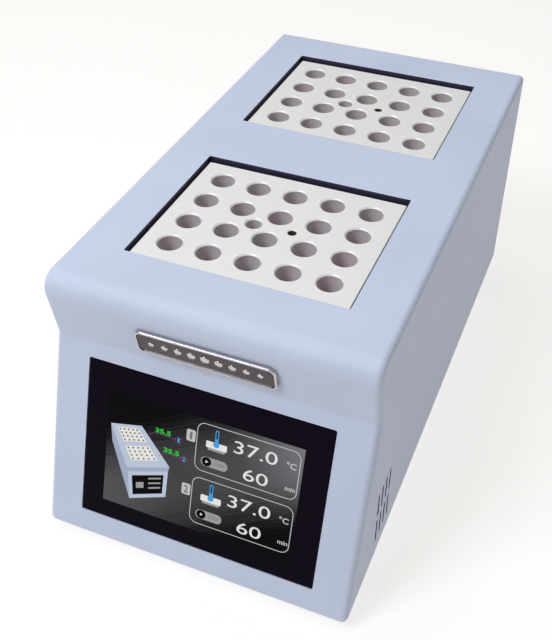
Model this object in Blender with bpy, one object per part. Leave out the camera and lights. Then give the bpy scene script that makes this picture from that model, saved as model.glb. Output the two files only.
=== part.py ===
"""Dry block heater with two lift-out tube blocks and a sloping touch display, at real size.

Axes: +X to the user's right, +Y to the back, +Z up. The feet stand on z = 0 and the origin
is under the middle of the whole outline. All lengths are in metres.
"""

from math import cos, pi, radians, sin, tan

import bmesh
import bpy
from mathutils import Matrix, Vector

# Driving dimensions of the housing
GAP = 0.0003  # air between two pieces that touch
WIDTH = 0.1407
LENGTH = 0.2719  # from the sharp foot of the sloping front to the rear panel
TOP_Z = 0.1265
FOOT_HEIGHT = 0.005
WALL = 0.0035
EDGE_RADIUS = 0.003
CREASE_BACK = 0.0279  # the fold over the display, behind the foot of the front
CREASE_DROP = 0.0323  # and below the top
FASCIA_LEAN = radians(10.9)  # the strip above the fold leans forward as it rises
NOSE_RADIUS = 0.0082
SHEET = 0.002  # base plate and rear panel
BOSS_DEPTH = 0.012

# Blocks and the wells that heat them
BLOCK_SIZE = Vector((0.0953, 0.077, 0.050))
BLOCK_TOP_DROP = 0.0020
BLOCK_SPACING = 0.1174
FIRST_BLOCK_BACK = 0.0915
COLUMNS, ROWS = 5, 4
HOLE_PITCH_X, HOLE_PITCH_Y = 0.0176, 0.0173
TUBE_RADIUS, TUBE_DEPTH = 0.0055, 0.037
THERMOMETER_RADIUS, THERMOMETER_DEPTH = 0.0035, 0.040
LIFTER_RADIUS, LIFTER_DEPTH = 0.0022, 0.015
WINDOW_X, WINDOW_Y = 0.0973, 0.0805
WELL_CLEARANCE = 0.00035  # the well is this much wider than the window on each side
WELL_WALL, WELL_FLOOR = 0.004, 0.008
HEATER_SIZE = Vector((0.084, 0.066, 0.002))
INSULATION_HEIGHT = 0.010
POST_X, POST_Y, POST_RADIUS = 0.046, 0.038, 0.003
SENSOR_RADIUS, SENSOR_DEPTH, SENSOR_TAIL = 0.0017, 0.030, 0.006
CUTOUT_RADIUS, CUTOUT_HEIGHT = 0.007, 0.006

# Display
GLASS_X, GLASS_Y, GLASS_THICK = 0.1078, 0.074, 0.003
GLASS_BELOW_CREASE = 0.0071
GASKET_THICK, GASKET_LIP = 0.001, 0.0062
LCD_SIZE = Vector((0.101, 0.066, 0.0045))
BOARD_THICK = 0.0016
BADGE_SIZE = Vector((0.060, 0.0125, 0.0014))
BADGE_ABOVE_CREASE = 0.0124

# Air slots
SLOT_WIDTH, SLOT_PITCH, SLOTS_IN_ROW = 0.0018, 0.0052, 4
SLOT_FIRST_BACK = 0.0364
SLOT_ROWS = ((0.0168, 0.0302), (0.0333, 0.0463))
BASE_SLOT_ROWS = (0.075, 0.105)
REAR_SLOTS_Z = 0.087

# Fastening
SCREW_RADIUS, SCREW_HOLE = 0.0015, 0.0018
FOOT_X, FOOT_FRONT_BACK, FOOT_REAR_BACK = 0.056, 0.026, 0.248
REAR_SCREW_X, REAR_SCREW_LOW, REAR_SCREW_HIGH = 0.058, 0.020, 0.115

# Power inlet, its fuse drawer and the switch
INLET_X, SWITCH_X, POWER_Z = -0.026, 0.026, 0.033
INLET_CUT_X, INLET_CUT_Z = 0.0276, 0.0346
SWITCH_CUT_X, SWITCH_CUT_Z = 0.0216, 0.0276
SOCKET_UP, DRAWER_DOWN = 0.0065, 0.0108
SOCKET_X, SOCKET_Z, SOCKET_DEPTH = 0.0244, 0.0166, 0.016
INLET_FLANGE = 0.0025
DRAWER_X, DRAWER_Z, DRAWER_DEPTH = 0.0244, 0.0082, 0.0115
FUSE_RADIUS, FUSE_LENGTH = 0.0026, 0.020
SWITCH_FLANGE = 0.002
ROCKER_TILT = radians(9)
ROCKER_HALF_WIDTH, ROCKER_HALF_HEIGHT, ROCKER_LIP = 0.0082, 0.0106, 0.006
PIVOT_DEPTH, PIVOT_RADIUS = 0.001, 0.0012

# Places that follow from them
REAR_PROUD = ROCKER_LIP * cos(ROCKER_TILT) + ROCKER_HALF_HEIGHT * sin(ROCKER_TILT) - PIVOT_DEPTH
FRONT_TILT = Vector((CREASE_BACK, TOP_Z - CREASE_DROP - FOOT_HEIGHT)).angle(Vector((0, 1)))
TOE_LOSS = EDGE_RADIUS * (1 - tan((pi / 2 - FRONT_TILT) / 2))  # rounded off the foot of the front
FRONT_Y = -(LENGTH + TOE_LOSS + REAR_PROUD) / 2
REAR_Y = FRONT_Y + LENGTH
HALF_WIDTH = WIDTH / 2
INNER_HALF_WIDTH = HALF_WIDTH - WALL
SHEET_TOP = FOOT_HEIGHT + SHEET
CREASE = Vector((FRONT_Y + CREASE_BACK, TOP_Z - CREASE_DROP))
BLOCK_BASE_Z = TOP_Z - BLOCK_TOP_DROP - BLOCK_SIZE.z
WELL_FLOOR_TOP = BLOCK_BASE_Z - GAP
WELL_BASE_Z = WELL_FLOOR_TOP - WELL_FLOOR
WELL_HALF_X = WINDOW_X / 2 + WELL_CLEARANCE + WELL_WALL
WELL_HALF_Y = WINDOW_Y / 2 + WELL_CLEARANCE + WELL_WALL
BLOCK_Y = {
    "front": FRONT_Y + FIRST_BLOCK_BACK,
    "rear": FRONT_Y + FIRST_BLOCK_BACK + BLOCK_SPACING,
}
BOARD_SIZE = Vector((0.080, 0.110, BOARD_THICK))
BOARD_CENTRE_Y = FRONT_Y + 0.092
STANDOFF_HEIGHT = 0.0074
BOARD_Z = SHEET_TOP + GAP + STANDOFF_HEIGHT + GAP
BOARD_TOP = BOARD_Z + BOARD_THICK
SHARP_ANGLE = radians(32)


def clear_scene():
    for old in list(bpy.data.objects):
        bpy.data.objects.remove(old, do_unlink=True)


def linear(value):
    return value / 12.92 if value <= 0.04045 else ((value + 0.055) / 1.055) ** 2.4


def look(name, hex_colour, roughness, metallic=0.0):
    """A Principled material in one sRGB colour."""
    material = bpy.data.materials.new(name)
    material.use_nodes = True
    shader = material.node_tree.nodes["Principled BSDF"]
    channels = [int(hex_colour[i : i + 2], 16) / 255 for i in (1, 3, 5)]
    shader.inputs["Base Color"].default_value = (*[linear(c) for c in channels], 1)
    shader.inputs["Roughness"].default_value = roughness
    shader.inputs["Metallic"].default_value = metallic
    return material


def add_box(bm, low, high, chamfer=0.0):
    """A box between two corners. A chamfer takes off all its edges."""
    low, high = Vector(low), Vector(high)
    made = bmesh.ops.create_cube(bm, size=1)["verts"]
    bmesh.ops.scale(bm, vec=high - low, verts=made)
    bmesh.ops.translate(bm, vec=(low + high) / 2, verts=made)
    if chamfer:
        edges = list({edge for vert in made for edge in vert.link_edges})
        bmesh.ops.bevel(
            bm, geom=edges, offset=chamfer, affect="EDGES", segments=1, profile=0.5, material=-1
        )


def add_centred(bm, size, centre, chamfer=0.0):
    half = Vector(size) / 2
    add_box(bm, Vector(centre) - half, Vector(centre) + half, chamfer)


def add_rod(bm, radius, start, end, sides=16):
    """A round bar from one point to another."""
    start, end = Vector(start), Vector(end)
    along = end - start
    turn = Vector((0, 0, 1)).rotation_difference(along).to_matrix().to_4x4()
    bmesh.ops.create_cone(
        bm,
        cap_ends=True,
        segments=sides,
        radius1=radius,
        radius2=radius,
        depth=along.length,
        matrix=Matrix.Translation((start + end) / 2) @ turn,
    )


def add_prism(bm, outline, depth, place):
    """An outline in its own XY plane, pushed out along +Z by depth, then put in place."""
    verts = [bm.verts.new((u, v, 0)) for u, v in outline]
    face = bm.faces.new(verts)
    pushed = bmesh.ops.extrude_face_region(bm, geom=[face], use_keep_orig=True)["geom"]
    top = [item for item in pushed if isinstance(item, bmesh.types.BMVert)]
    bmesh.ops.translate(bm, vec=(0, 0, depth), verts=top)
    bmesh.ops.transform(bm, matrix=place, verts=verts + top)
    bmesh.ops.recalc_face_normals(bm, faces=bm.faces)


def add_turned(bm, profile, sides):
    """A profile of (radius, height) points turned about Z. A closed profile gives a ring."""
    verts = [bm.verts.new((r, 0, z)) for r, z in profile]
    edges = [bm.edges.new(pair) for pair in zip(verts, verts[1:])]
    if profile[0][0] > 0:
        edges.append(bm.edges.new((verts[-1], verts[0])))
    bmesh.ops.spin(
        bm,
        geom=verts + edges,
        cent=(0, 0, 0),
        axis=(0, 0, 1),
        angle=2 * pi,
        steps=sides,
        use_merge=True,
    )
    bmesh.ops.remove_doubles(bm, verts=bm.verts, dist=1e-7)
    bmesh.ops.recalc_face_normals(bm, faces=bm.faces)


def rounded(corners, steps):
    """The outline through (u, v, radius) corners, each rounded by its radius in so many steps."""
    outline = []
    count = len(corners)
    for i, (u, v, radius) in enumerate(corners):
        corner = Vector((u, v))
        if radius == 0:
            outline.append(corner)
            continue
        before = (Vector(corners[i - 1][:2]) - corner).normalized()
        after = (Vector(corners[(i + 1) % count][:2]) - corner).normalized()
        half = before.angle(after) / 2
        centre = corner + (before + after).normalized() * (radius / sin(half))
        start = corner + before * (radius / tan(half)) - centre
        end = corner + after * (radius / tan(half)) - centre
        sweep = start.angle_signed(end)
        for step in range(steps + 1):
            outline.append(centre + Matrix.Rotation(-sweep * step / steps, 2) @ start)
    return outline


def side_corners():
    """The housing's side outline as (y, z, radius), from the foot of the front up and back."""
    nose_y = CREASE.x - CREASE_DROP * tan(FASCIA_LEAN)
    return [
        (FRONT_Y, FOOT_HEIGHT, 0),
        (CREASE.x, CREASE.y, 0),
        (nose_y, TOP_Z, NOSE_RADIUS),
        (REAR_Y, TOP_Z, 0),
        (REAR_Y, FOOT_HEIGHT, 0),
    ]


def shifted(outline, distances):
    """A closed outline with each side (point i to i + 1) moved inwards by its own distance."""
    lines = []
    for i, (point, inward) in enumerate(zip(outline, distances)):
        along = (outline[(i + 1) % len(outline)] - point).normalized()
        lines.append((point + Vector((along.y, -along.x)) * inward, along))
    moved = []
    for (p, d), (q, e) in zip([lines[-1], *lines], lines):
        across = d.x * e.y - d.y * e.x
        if abs(across) < 1e-9:
            moved.append(q)
            continue
        moved.append(p + d * (((q - p).x * e.y - (q - p).y * e.x) / across))
    return moved


# Local X, Y and Z of an outline in the side view, sent to world Y, Z and X
SIDE_VIEW = Matrix(((0, 0, 1, 0), (1, 0, 0, 0), (0, 1, 0, 0), (0, 0, 0, 1)))
# and of an outline seen from behind, with its depth running forwards
REAR_VIEW = Matrix(((1, 0, 0, 0), (0, 0, -1, 0), (0, 1, 0, 0), (0, 0, 0, 1)))


def helper(name, bm):
    mesh = bpy.data.meshes.new(name)
    bm.to_mesh(mesh)
    bm.free()
    made = bpy.data.objects.new(name, mesh)
    bpy.context.scene.collection.objects.link(made)
    return made


def part(name, material, body, steps=(), place=(0, 0, 0), turn=0.0, parent=None):
    """One named piece. Each step (operation, bmesh) joins or cuts a shape in the same frame."""
    made = helper(name, body)
    made.data.materials.append(material)
    others = []
    for number, (operation, shape) in enumerate(steps):
        tool = helper(f"{name}_{operation.lower()}_{number}", shape)
        tool.hide_render = True
        tool.display_type = "WIRE"
        boolean = made.modifiers.new(operation.title(), "BOOLEAN")
        boolean.operation = operation
        boolean.solver = "EXACT"
        boolean.object = tool
        others.append(tool)
    for item in [made, *others]:
        item.parent = parent
        item.location = place
        item.rotation_euler.x = turn
    made.data.shade_smooth()
    made.data.set_sharp_from_angle(angle=SHARP_ANGLE)
    return made


def frame_on_slope(name, y, z, turn):
    """An empty whose X runs across the housing, Y up the slope and Z out of it."""
    empty = bpy.data.objects.new(name, None)
    empty.location = (0, y, z)
    empty.rotation_euler.x = turn
    bpy.context.scene.collection.objects.link(empty)
    return empty


def shape(maker, *values, **named):
    """A new bmesh with one shape in it."""
    bm = bmesh.new()
    maker(bm, *values, **named)
    return bm


def cover_bosses():
    """Blocks inside the housing that the foot screws and the rear screws bite into."""
    bm = bmesh.new()
    inner, outer = FOOT_X - 0.005, INNER_HALF_WIDTH + 0.001
    rear_low = REAR_Y - SHEET - GAP - BOSS_DEPTH
    for side in (-1, 1):
        ends = sorted((side * inner, side * outer))
        for back in (FOOT_FRONT_BACK, FOOT_REAR_BACK):
            y, z = FRONT_Y + back, SHEET_TOP + GAP
            add_box(bm, (ends[0], y - 0.007, z), (ends[1], y + 0.007, z + BOSS_DEPTH))
        for z in (REAR_SCREW_LOW, REAR_SCREW_HIGH):
            low, high = z - 0.006, z + 0.006
            if z == REAR_SCREW_HIGH:
                high = TOP_Z - WALL + 0.001
            add_box(bm, (ends[0] + 0.001, rear_low, low), (ends[1], rear_low + BOSS_DEPTH, high))
    return bm


def cover_holes():
    """Windows over the wells, air slots, screw holes, in one set of cutters that keep apart."""
    bm = bmesh.new()
    for y in BLOCK_Y.values():
        add_centred(bm, (WINDOW_X, WINDOW_Y, 3 * WALL), (0, y, TOP_Z - WALL / 2))
    for side in (-1, 1):
        for low, high in SLOT_ROWS:
            for number in range(SLOTS_IN_ROW):
                y = FRONT_Y + SLOT_FIRST_BACK + number * SLOT_PITCH
                size = (3 * WALL, SLOT_WIDTH, high - low)
                add_centred(bm, size, (side * HALF_WIDTH, y, (low + high) / 2))
        for back in (FOOT_FRONT_BACK, FOOT_REAR_BACK):
            x, y = side * FOOT_X, FRONT_Y + back
            add_rod(bm, SCREW_HOLE, (x, y, FOOT_HEIGHT), (x, y, SHEET_TOP + 0.011), 12)
        for z in (REAR_SCREW_LOW, REAR_SCREW_HIGH):
            x = side * REAR_SCREW_X
            add_rod(bm, SCREW_HOLE, (x, REAR_Y, z), (x, REAR_Y - SHEET - 0.011, z), 12)
    return bm


def make_cover(material, display):
    outline = rounded(side_corners(), 6)
    body = shape(add_prism, outline, WIDTH, SIDE_VIEW)
    bmesh.ops.translate(body, vec=(-HALF_WIDTH, 0, 0), verts=body.verts)
    ends = []
    for edge in body.edges:
        a, b = (vert.co for vert in edge.verts)
        across = abs(a.x - b.x) > WIDTH / 2
        on_rear = min(a.y, b.y) > REAR_Y - 1e-5
        on_front_foot = across and max(a.y, b.y) < FRONT_Y + 1e-5
        if on_front_foot or not (across or on_rear):
            ends.append(edge)
    bmesh.ops.bevel(
        body,
        geom=ends,
        offset=EDGE_RADIUS,
        affect="EDGES",
        segments=3,
        profile=0.5,
        material=-1,
    )
    sides = [WALL] * len(outline)
    sides[-2], sides[-1] = -2 * WALL, -2 * WALL  # open at the back and below
    inside = shape(add_prism, shifted(outline, sides), 2 * INNER_HALF_WIDTH, SIDE_VIEW)
    bmesh.ops.translate(inside, vec=(-INNER_HALF_WIDTH, 0, 0), verts=inside.verts)
    window = shape(add_centred, (GLASS_X + 2 * GAP, GLASS_Y + 2 * GAP, 4 * WALL), (0, 0, 0))
    bmesh.ops.transform(window, matrix=display.matrix_basis, verts=window.verts)
    steps = [
        ("DIFFERENCE", inside),
        ("UNION", cover_bosses()),
        ("DIFFERENCE", cover_holes()),
        ("DIFFERENCE", window),
    ]
    part("top_cover", material, body, steps)


def make_base(steel):
    half = INNER_HALF_WIDTH - GAP
    front = FRONT_Y + WALL / cos(FRONT_TILT) + SHEET * tan(FRONT_TILT) + GAP
    body = shape(add_box, (-half, front, FOOT_HEIGHT), (half, REAR_Y, SHEET_TOP))
    cuts = bmesh.new()
    for side in (-1, 1):
        for back in (FOOT_FRONT_BACK, FOOT_REAR_BACK):
            x, y = side * FOOT_X, FRONT_Y + back
            add_rod(cuts, SCREW_HOLE, (x, y, 0), (x, y, 2 * SHEET_TOP), 12)
    for row in BASE_SLOT_ROWS:
        for number in range(-3, 4):
            place = (number * 0.010, FRONT_Y + row, SHEET_TOP)
            add_centred(cuts, (0.0035, 0.022, 4 * SHEET), place)
    part("base_plate", steel, body, [("DIFFERENCE", cuts)])


def make_rear_panel(steel):
    half = INNER_HALF_WIDTH - GAP
    top = TOP_Z - WALL - GAP
    body = shape(add_box, (-half, REAR_Y - SHEET, SHEET_TOP + GAP), (half, REAR_Y, top))
    cuts = bmesh.new()
    add_centred(cuts, (INLET_CUT_X, 4 * SHEET, INLET_CUT_Z), (INLET_X, REAR_Y, POWER_Z))
    add_centred(cuts, (SWITCH_CUT_X, 4 * SHEET, SWITCH_CUT_Z), (SWITCH_X, REAR_Y, POWER_Z))
    for x in (-REAR_SCREW_X, REAR_SCREW_X):
        for z in (REAR_SCREW_LOW, REAR_SCREW_HIGH):
            add_rod(cuts, SCREW_HOLE, (x, REAR_Y - 0.01, z), (x, REAR_Y + 0.01, z), 12)
    for number in range(-4, 5):
        add_centred(cuts, (0.003, 4 * SHEET, 0.026), (number * 0.0075, REAR_Y, REAR_SLOTS_Z))
    part("rear_panel", steel, body, [("DIFFERENCE", cuts)])


def make_feet(rubber, steel):
    """Rubber feet with a counterbore, and the screws that hold them, the base and the cover."""
    top = FOOT_HEIGHT - GAP
    foot = [
        (0.0045, 0),
        (0.0092, 0),
        (0.0100, 0.0008),
        (0.0092, top),
        (0.0021, top),
        (0.0021, 0.0026),
        (0.0045, 0.0026),
    ]
    screw = [
        (0, 0.0163),
        (SCREW_RADIUS, 0.0163),
        (SCREW_RADIUS, 0.0023),
        (0.0036, 0.0023),
        (0.0036, 0.0012),
        (0.0028, 0.0006),
        (0, 0.0006),
    ]
    for end, back in (("front", FOOT_FRONT_BACK), ("rear", FOOT_REAR_BACK)):
        for hand, x in (("left", -FOOT_X), ("right", FOOT_X)):
            place = (x, FRONT_Y + back, 0)
            part(f"foot_{end}_{hand}", rubber, shape(add_turned, foot, 20), place=place)
            part(f"foot_screw_{end}_{hand}", steel, shape(add_turned, screw, 12), place=place)


def make_rear_screws(steel):
    head = GAP + 0.0019
    screw = [
        (0, head),
        (0.0018, head),
        (0.0029, head - 0.0009),
        (0.0030, GAP),
        (SCREW_RADIUS, GAP),
        (SCREW_RADIUS, -0.010),
        (0, -0.010),
    ]
    for level, z in (("low", REAR_SCREW_LOW), ("high", REAR_SCREW_HIGH)):
        for hand, x in (("left", -REAR_SCREW_X), ("right", REAR_SCREW_X)):
            part(
                f"rear_screw_{level}_{hand}",
                steel,
                shape(add_turned, screw, 12),
                place=(x, REAR_Y, z),
                turn=-pi / 2,
            )


def make_display(looks, display):
    """The glass in the sloping front and, behind it, gasket, screen, board and bracket."""
    depth = 0.0
    half = Vector((GLASS_X, GLASS_Y)) / 2
    glass = shape(add_box, (-half.x, -half.y, -GLASS_THICK), (half.x, half.y, 0), 0.0003)
    part("touch_glass", looks["glass"], glass, parent=display)
    depth -= GLASS_THICK + GAP
    gasket = shape(
        add_box,
        (-half.x + GAP, -half.y + GAP, depth - GASKET_THICK),
        (half.x - GAP, half.y - GAP, depth),
    )
    hole = (GLASS_X - 2 * GASKET_LIP, GLASS_Y - 2 * GASKET_LIP, 8 * GASKET_THICK)
    cut = shape(add_centred, hole, (0, 0, depth))
    part("glass_gasket", looks["rubber"], gasket, [("DIFFERENCE", cut)], parent=display)
    depth -= GASKET_THICK + GAP
    lcd = shape(add_centred, LCD_SIZE, (0, 0, depth - LCD_SIZE.z / 2), 0.0006)
    part("lcd_module", looks["black"], lcd, parent=display)
    depth -= LCD_SIZE.z + GAP
    board = shape(add_centred, (0.104, 0.068, BOARD_THICK), (0, 0, depth - BOARD_THICK / 2))
    chips = bmesh.new()
    back = depth - BOARD_THICK
    add_box(chips, (-0.011, -0.030, back - 0.004), (0.011, -0.025, back + 0.0005))
    add_box(chips, (-0.038, 0.002, back - 0.0015), (-0.024, 0.016, back + 0.0005))
    add_box(chips, (0.016, 0.004, back - 0.003), (0.036, 0.012, back + 0.0005))
    part("display_board", looks["board"], board, [("UNION", chips)], parent=display)
    depth = back - 0.0042
    bracket = shape(add_box, (-0.063, -0.018, depth - 0.0015), (0.063, 0.018, depth))
    legs = bmesh.new()
    for side in (-1, 1):
        ends = sorted((side * 0.058, side * 0.063))
        add_box(legs, (ends[0], -0.018, depth - 0.0010), (ends[1], 0.018, -WALL - GAP))
    part("display_bracket", looks["steel"], bracket, [("UNION", legs)], parent=display)


def make_badge(material, fascia):
    """A plain rounded name plate with nothing on it."""
    x, y = BADGE_SIZE.x / 2, BADGE_SIZE.y / 2
    corners = [(-x, -y, 0.003), (x, -y, 0.003), (x, y, 0.003), (-x, y, 0.003)]
    place = Matrix.Translation((0, 0, GAP))
    plate = shape(add_prism, rounded(corners, 4), BADGE_SIZE.z, place)
    part("badge", material, plate, parent=fascia)


def make_block(name, material, y):
    """An aluminium block with its tube holes, a thermometer hole and a lifter hole."""
    body = bmesh.new()
    half_x, half_y = BLOCK_SIZE.x / 2, BLOCK_SIZE.y / 2
    add_box(body, (-half_x, -half_y, 0), (half_x, half_y, BLOCK_SIZE.z), 0.0006)
    holes = bmesh.new()
    over = BLOCK_SIZE.z + 0.002
    for column in range(COLUMNS):
        for row in range(ROWS):
            hole_x = (column - (COLUMNS - 1) / 2) * HOLE_PITCH_X
            hole_y = (row - (ROWS - 1) / 2) * HOLE_PITCH_Y
            low = (hole_x, hole_y, BLOCK_SIZE.z - TUBE_DEPTH)
            add_rod(holes, TUBE_RADIUS, low, (hole_x, hole_y, over), 16)
    for x, radius, depth in (
        (-HOLE_PITCH_X / 2, THERMOMETER_RADIUS, THERMOMETER_DEPTH),
        (HOLE_PITCH_X / 2, LIFTER_RADIUS, LIFTER_DEPTH),
    ):
        add_rod(holes, radius, (x, 0, BLOCK_SIZE.z - depth), (x, 0, over), 12)
    part(name, material, body, [("DIFFERENCE", holes)], place=(0, y, BLOCK_BASE_Z))


def make_heating(end, y, looks):
    """The well under one window, with its heater, insulation, sensor, cut-out and posts."""
    top = TOP_Z - WALL - GAP
    body = bmesh.new()
    add_box(body, (-WELL_HALF_X, -WELL_HALF_Y, WELL_BASE_Z), (WELL_HALF_X, WELL_HALF_Y, top))
    room_x, room_y = WELL_HALF_X - WELL_WALL, WELL_HALF_Y - WELL_WALL
    room = shape(add_box, (-room_x, -room_y, WELL_FLOOR_TOP), (room_x, room_y, TOP_Z))
    sensor_x, sensor_z = 0.020, WELL_BASE_Z + WELL_FLOOR / 2
    tip = -WELL_HALF_Y + SENSOR_DEPTH
    start = (sensor_x, -WELL_HALF_Y - 0.002, sensor_z)
    bore = shape(add_rod, SENSOR_RADIUS + GAP, start, (sensor_x, tip, sensor_z), 12)
    steps = [("DIFFERENCE", room), ("DIFFERENCE", bore)]
    part(f"{end}_well", looks["well"], body, steps, place=(0, y, 0))
    sensor = shape(
        add_rod,
        SENSOR_RADIUS,
        (sensor_x, -WELL_HALF_Y - SENSOR_TAIL, sensor_z),
        (sensor_x, tip - GAP, sensor_z),
        12,
    )
    part(f"{end}_sensor", looks["steel"], sensor, place=(0, y, 0))
    z = WELL_BASE_Z - GAP - HEATER_SIZE.z / 2
    heater = shape(add_centred, HEATER_SIZE, (0, 0, z), 0.0004)
    part(f"{end}_heater", looks["silicone"], heater, place=(0, y, 0))
    z -= HEATER_SIZE.z / 2 + GAP + INSULATION_HEIGHT / 2
    size = (HEATER_SIZE.x, HEATER_SIZE.y, INSULATION_HEIGHT)
    wool = shape(add_centred, size, (0, 0, z), 0.001)
    part(f"{end}_insulation", looks["wool"], wool, place=(0, y, 0))
    x = WELL_HALF_X + GAP
    disc = shape(add_rod, CUTOUT_RADIUS, (x, 0, 0.09), (x + CUTOUT_HEIGHT, 0, 0.09), 16)
    part(f"{end}_cutout", looks["steel"], disc, place=(0, y, 0))
    low, high = SHEET_TOP + GAP, WELL_BASE_Z - GAP
    for row, post_y in (("front", -POST_Y), ("rear", POST_Y)):
        for hand, post_x in (("left", -POST_X), ("right", POST_X)):
            post = shape(add_rod, POST_RADIUS, (0, 0, low), (0, 0, high), 6)
            name = f"{end}_well_post_{row}_{hand}"
            part(name, looks["steel"], post, place=(post_x, y + post_y, 0))


def make_electronics(looks):
    """The control board on its standoffs, the triacs on their heat sink, and the supply."""
    half_x, half_y = BOARD_SIZE.x / 2, BOARD_SIZE.y / 2
    board = shape(add_box, (-half_x, -half_y, BOARD_Z), (half_x, half_y, BOARD_TOP))
    on_board = bmesh.new()
    low = BOARD_TOP - 0.0005
    add_box(on_board, (-0.011, -0.052, low), (0.011, -0.046, low + 0.0065))
    add_box(on_board, (-0.034, -0.020, low), (-0.014, -0.004, low + 0.016))
    add_box(on_board, (0.004, -0.022, low), (0.018, -0.008, low + 0.002))
    add_rod(on_board, 0.005, (0.029, -0.016, low), (0.029, -0.016, low + 0.014), 12)
    add_box(on_board, (-0.036, 0.006, low), (-0.010, 0.014, low + 0.011))
    place = (0, BOARD_CENTRE_Y, 0)
    part("main_board", looks["board"], board, [("UNION", on_board)], place=place)
    for end, y in (("front", -half_y + 0.004), ("rear", half_y - 0.004)):
        for hand, x in (("left", -half_x + 0.004), ("right", half_x - 0.004)):
            low, high = SHEET_TOP + GAP, BOARD_Z - GAP
            rod = shape(add_rod, 0.003, (0, 0, low), (0, 0, high), 6)
            name = f"board_standoff_{end}_{hand}"
            part(name, looks["brass"], rod, place=(x, BOARD_CENTRE_Y + y, 0))
    sink_y, sink_low = BOARD_CENTRE_Y + 0.040, BOARD_TOP + GAP
    sink = shape(add_box, (-0.030, -0.010, sink_low), (0.030, 0.010, sink_low + 0.024))
    fins = bmesh.new()
    for number in range(9):
        x = -0.026 + number * 0.0065
        add_box(fins, (x - 0.002, -0.006, sink_low - 0.001), (x + 0.002, 0.011, 0.050))
    place = (0, sink_y, 0)
    part("heat_sink", looks["aluminium"], sink, [("DIFFERENCE", fins)], place=place)
    for end, x in (("front", -0.014), ("rear", 0.014)):
        case_y = sink_y - 0.010 - GAP - 0.0046
        low, high = sink_low + 0.004, sink_low + 0.020
        case = shape(add_box, (-0.005, 0, low), (0.005, 0.0046, high), 0.0005)
        part(f"{end}_triac", looks["black"], case, place=(x, case_y, 0))
    low = SHEET_TOP + GAP
    supply = shape(add_box, (-0.038, -0.040, low), (0.038, 0.040, low + 0.034), 0.001)
    grille = bmesh.new()
    for number in range(-5, 6):
        add_centred(grille, (0.0025, 0.050, 0.004), (number * 0.006, 0, low + 0.034))
    place = (0, FRONT_Y + 0.192, 0)
    part("power_supply", looks["steel"], supply, [("DIFFERENCE", grille)], place=place)


def curve_points(start, lean_out, lean_in, end, count):
    """Points on a cubic Bezier curve."""
    points = []
    for step in range(count + 1):
        t = step / count
        s = 1 - t
        mixed = start * s**3 + lean_out * (3 * s * s * t) + lean_in * (3 * s * t * t) + end * t**3
        points.append(mixed)
    return points


def make_ribbon(material, display):
    """A flat cable from the header on the display board to the one on the control board."""
    turn = display.matrix_basis
    start = (turn @ Vector((0, -0.0275, -0.0167))).yz
    inward = (turn.to_3x3() @ Vector((0, 0, -1))).yz
    end = Vector((BOARD_CENTRE_Y - 0.049, BOARD_TOP + 0.0065))
    route = curve_points(start, start + inward * 0.012, end + Vector((0, 0.012)), end, 10)
    thick = 0.0009
    left, right = [], []
    for i, point in enumerate(route):
        before, after = route[max(i - 1, 0)], route[min(i + 1, len(route) - 1)]
        along = (after - before).normalized()
        across = Vector((-along.y, along.x)) * thick / 2
        left.append(point + across)
        right.append(point - across)
    ribbon = shape(add_prism, left + right[::-1], 0.020, SIDE_VIEW)
    part("ribbon_cable", material, ribbon, place=(-0.010, 0, 0))


def make_mains_lead(material):
    """The insulated pair from the back of the inlet to the supply."""
    start = Vector((INLET_X, REAR_Y - 0.0270, POWER_Z - 0.010))
    end = Vector((INLET_X + 0.004, FRONT_Y + 0.2324, 0.030))
    points = curve_points(
        start, start + Vector((0, -0.006, 0)), end + Vector((0, 0.006, 0)), end, 8
    )
    curve = bpy.data.curves.new("mains_lead", "CURVE")
    curve.dimensions = "3D"
    curve.bevel_depth = 0.0022
    curve.bevel_resolution = 2
    curve.use_fill_caps = True
    spline = curve.splines.new("POLY")
    spline.points.add(len(points) - 1)
    for slot, point in zip(spline.points, points):
        slot.co = (*point, 1)
    curve.materials.append(material)
    bpy.context.scene.collection.objects.link(bpy.data.objects.new("mains_lead", curve))


def socket_outline(width, height, chamfer):
    """The plug's outline seen from behind: a rectangle with its two upper corners cut off."""
    x, z = width / 2, height / 2
    return [(-x, -z), (x, -z), (x, z - chamfer), (x - chamfer, z), (chamfer - x, z), (-x, z - chamfer)]


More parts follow.
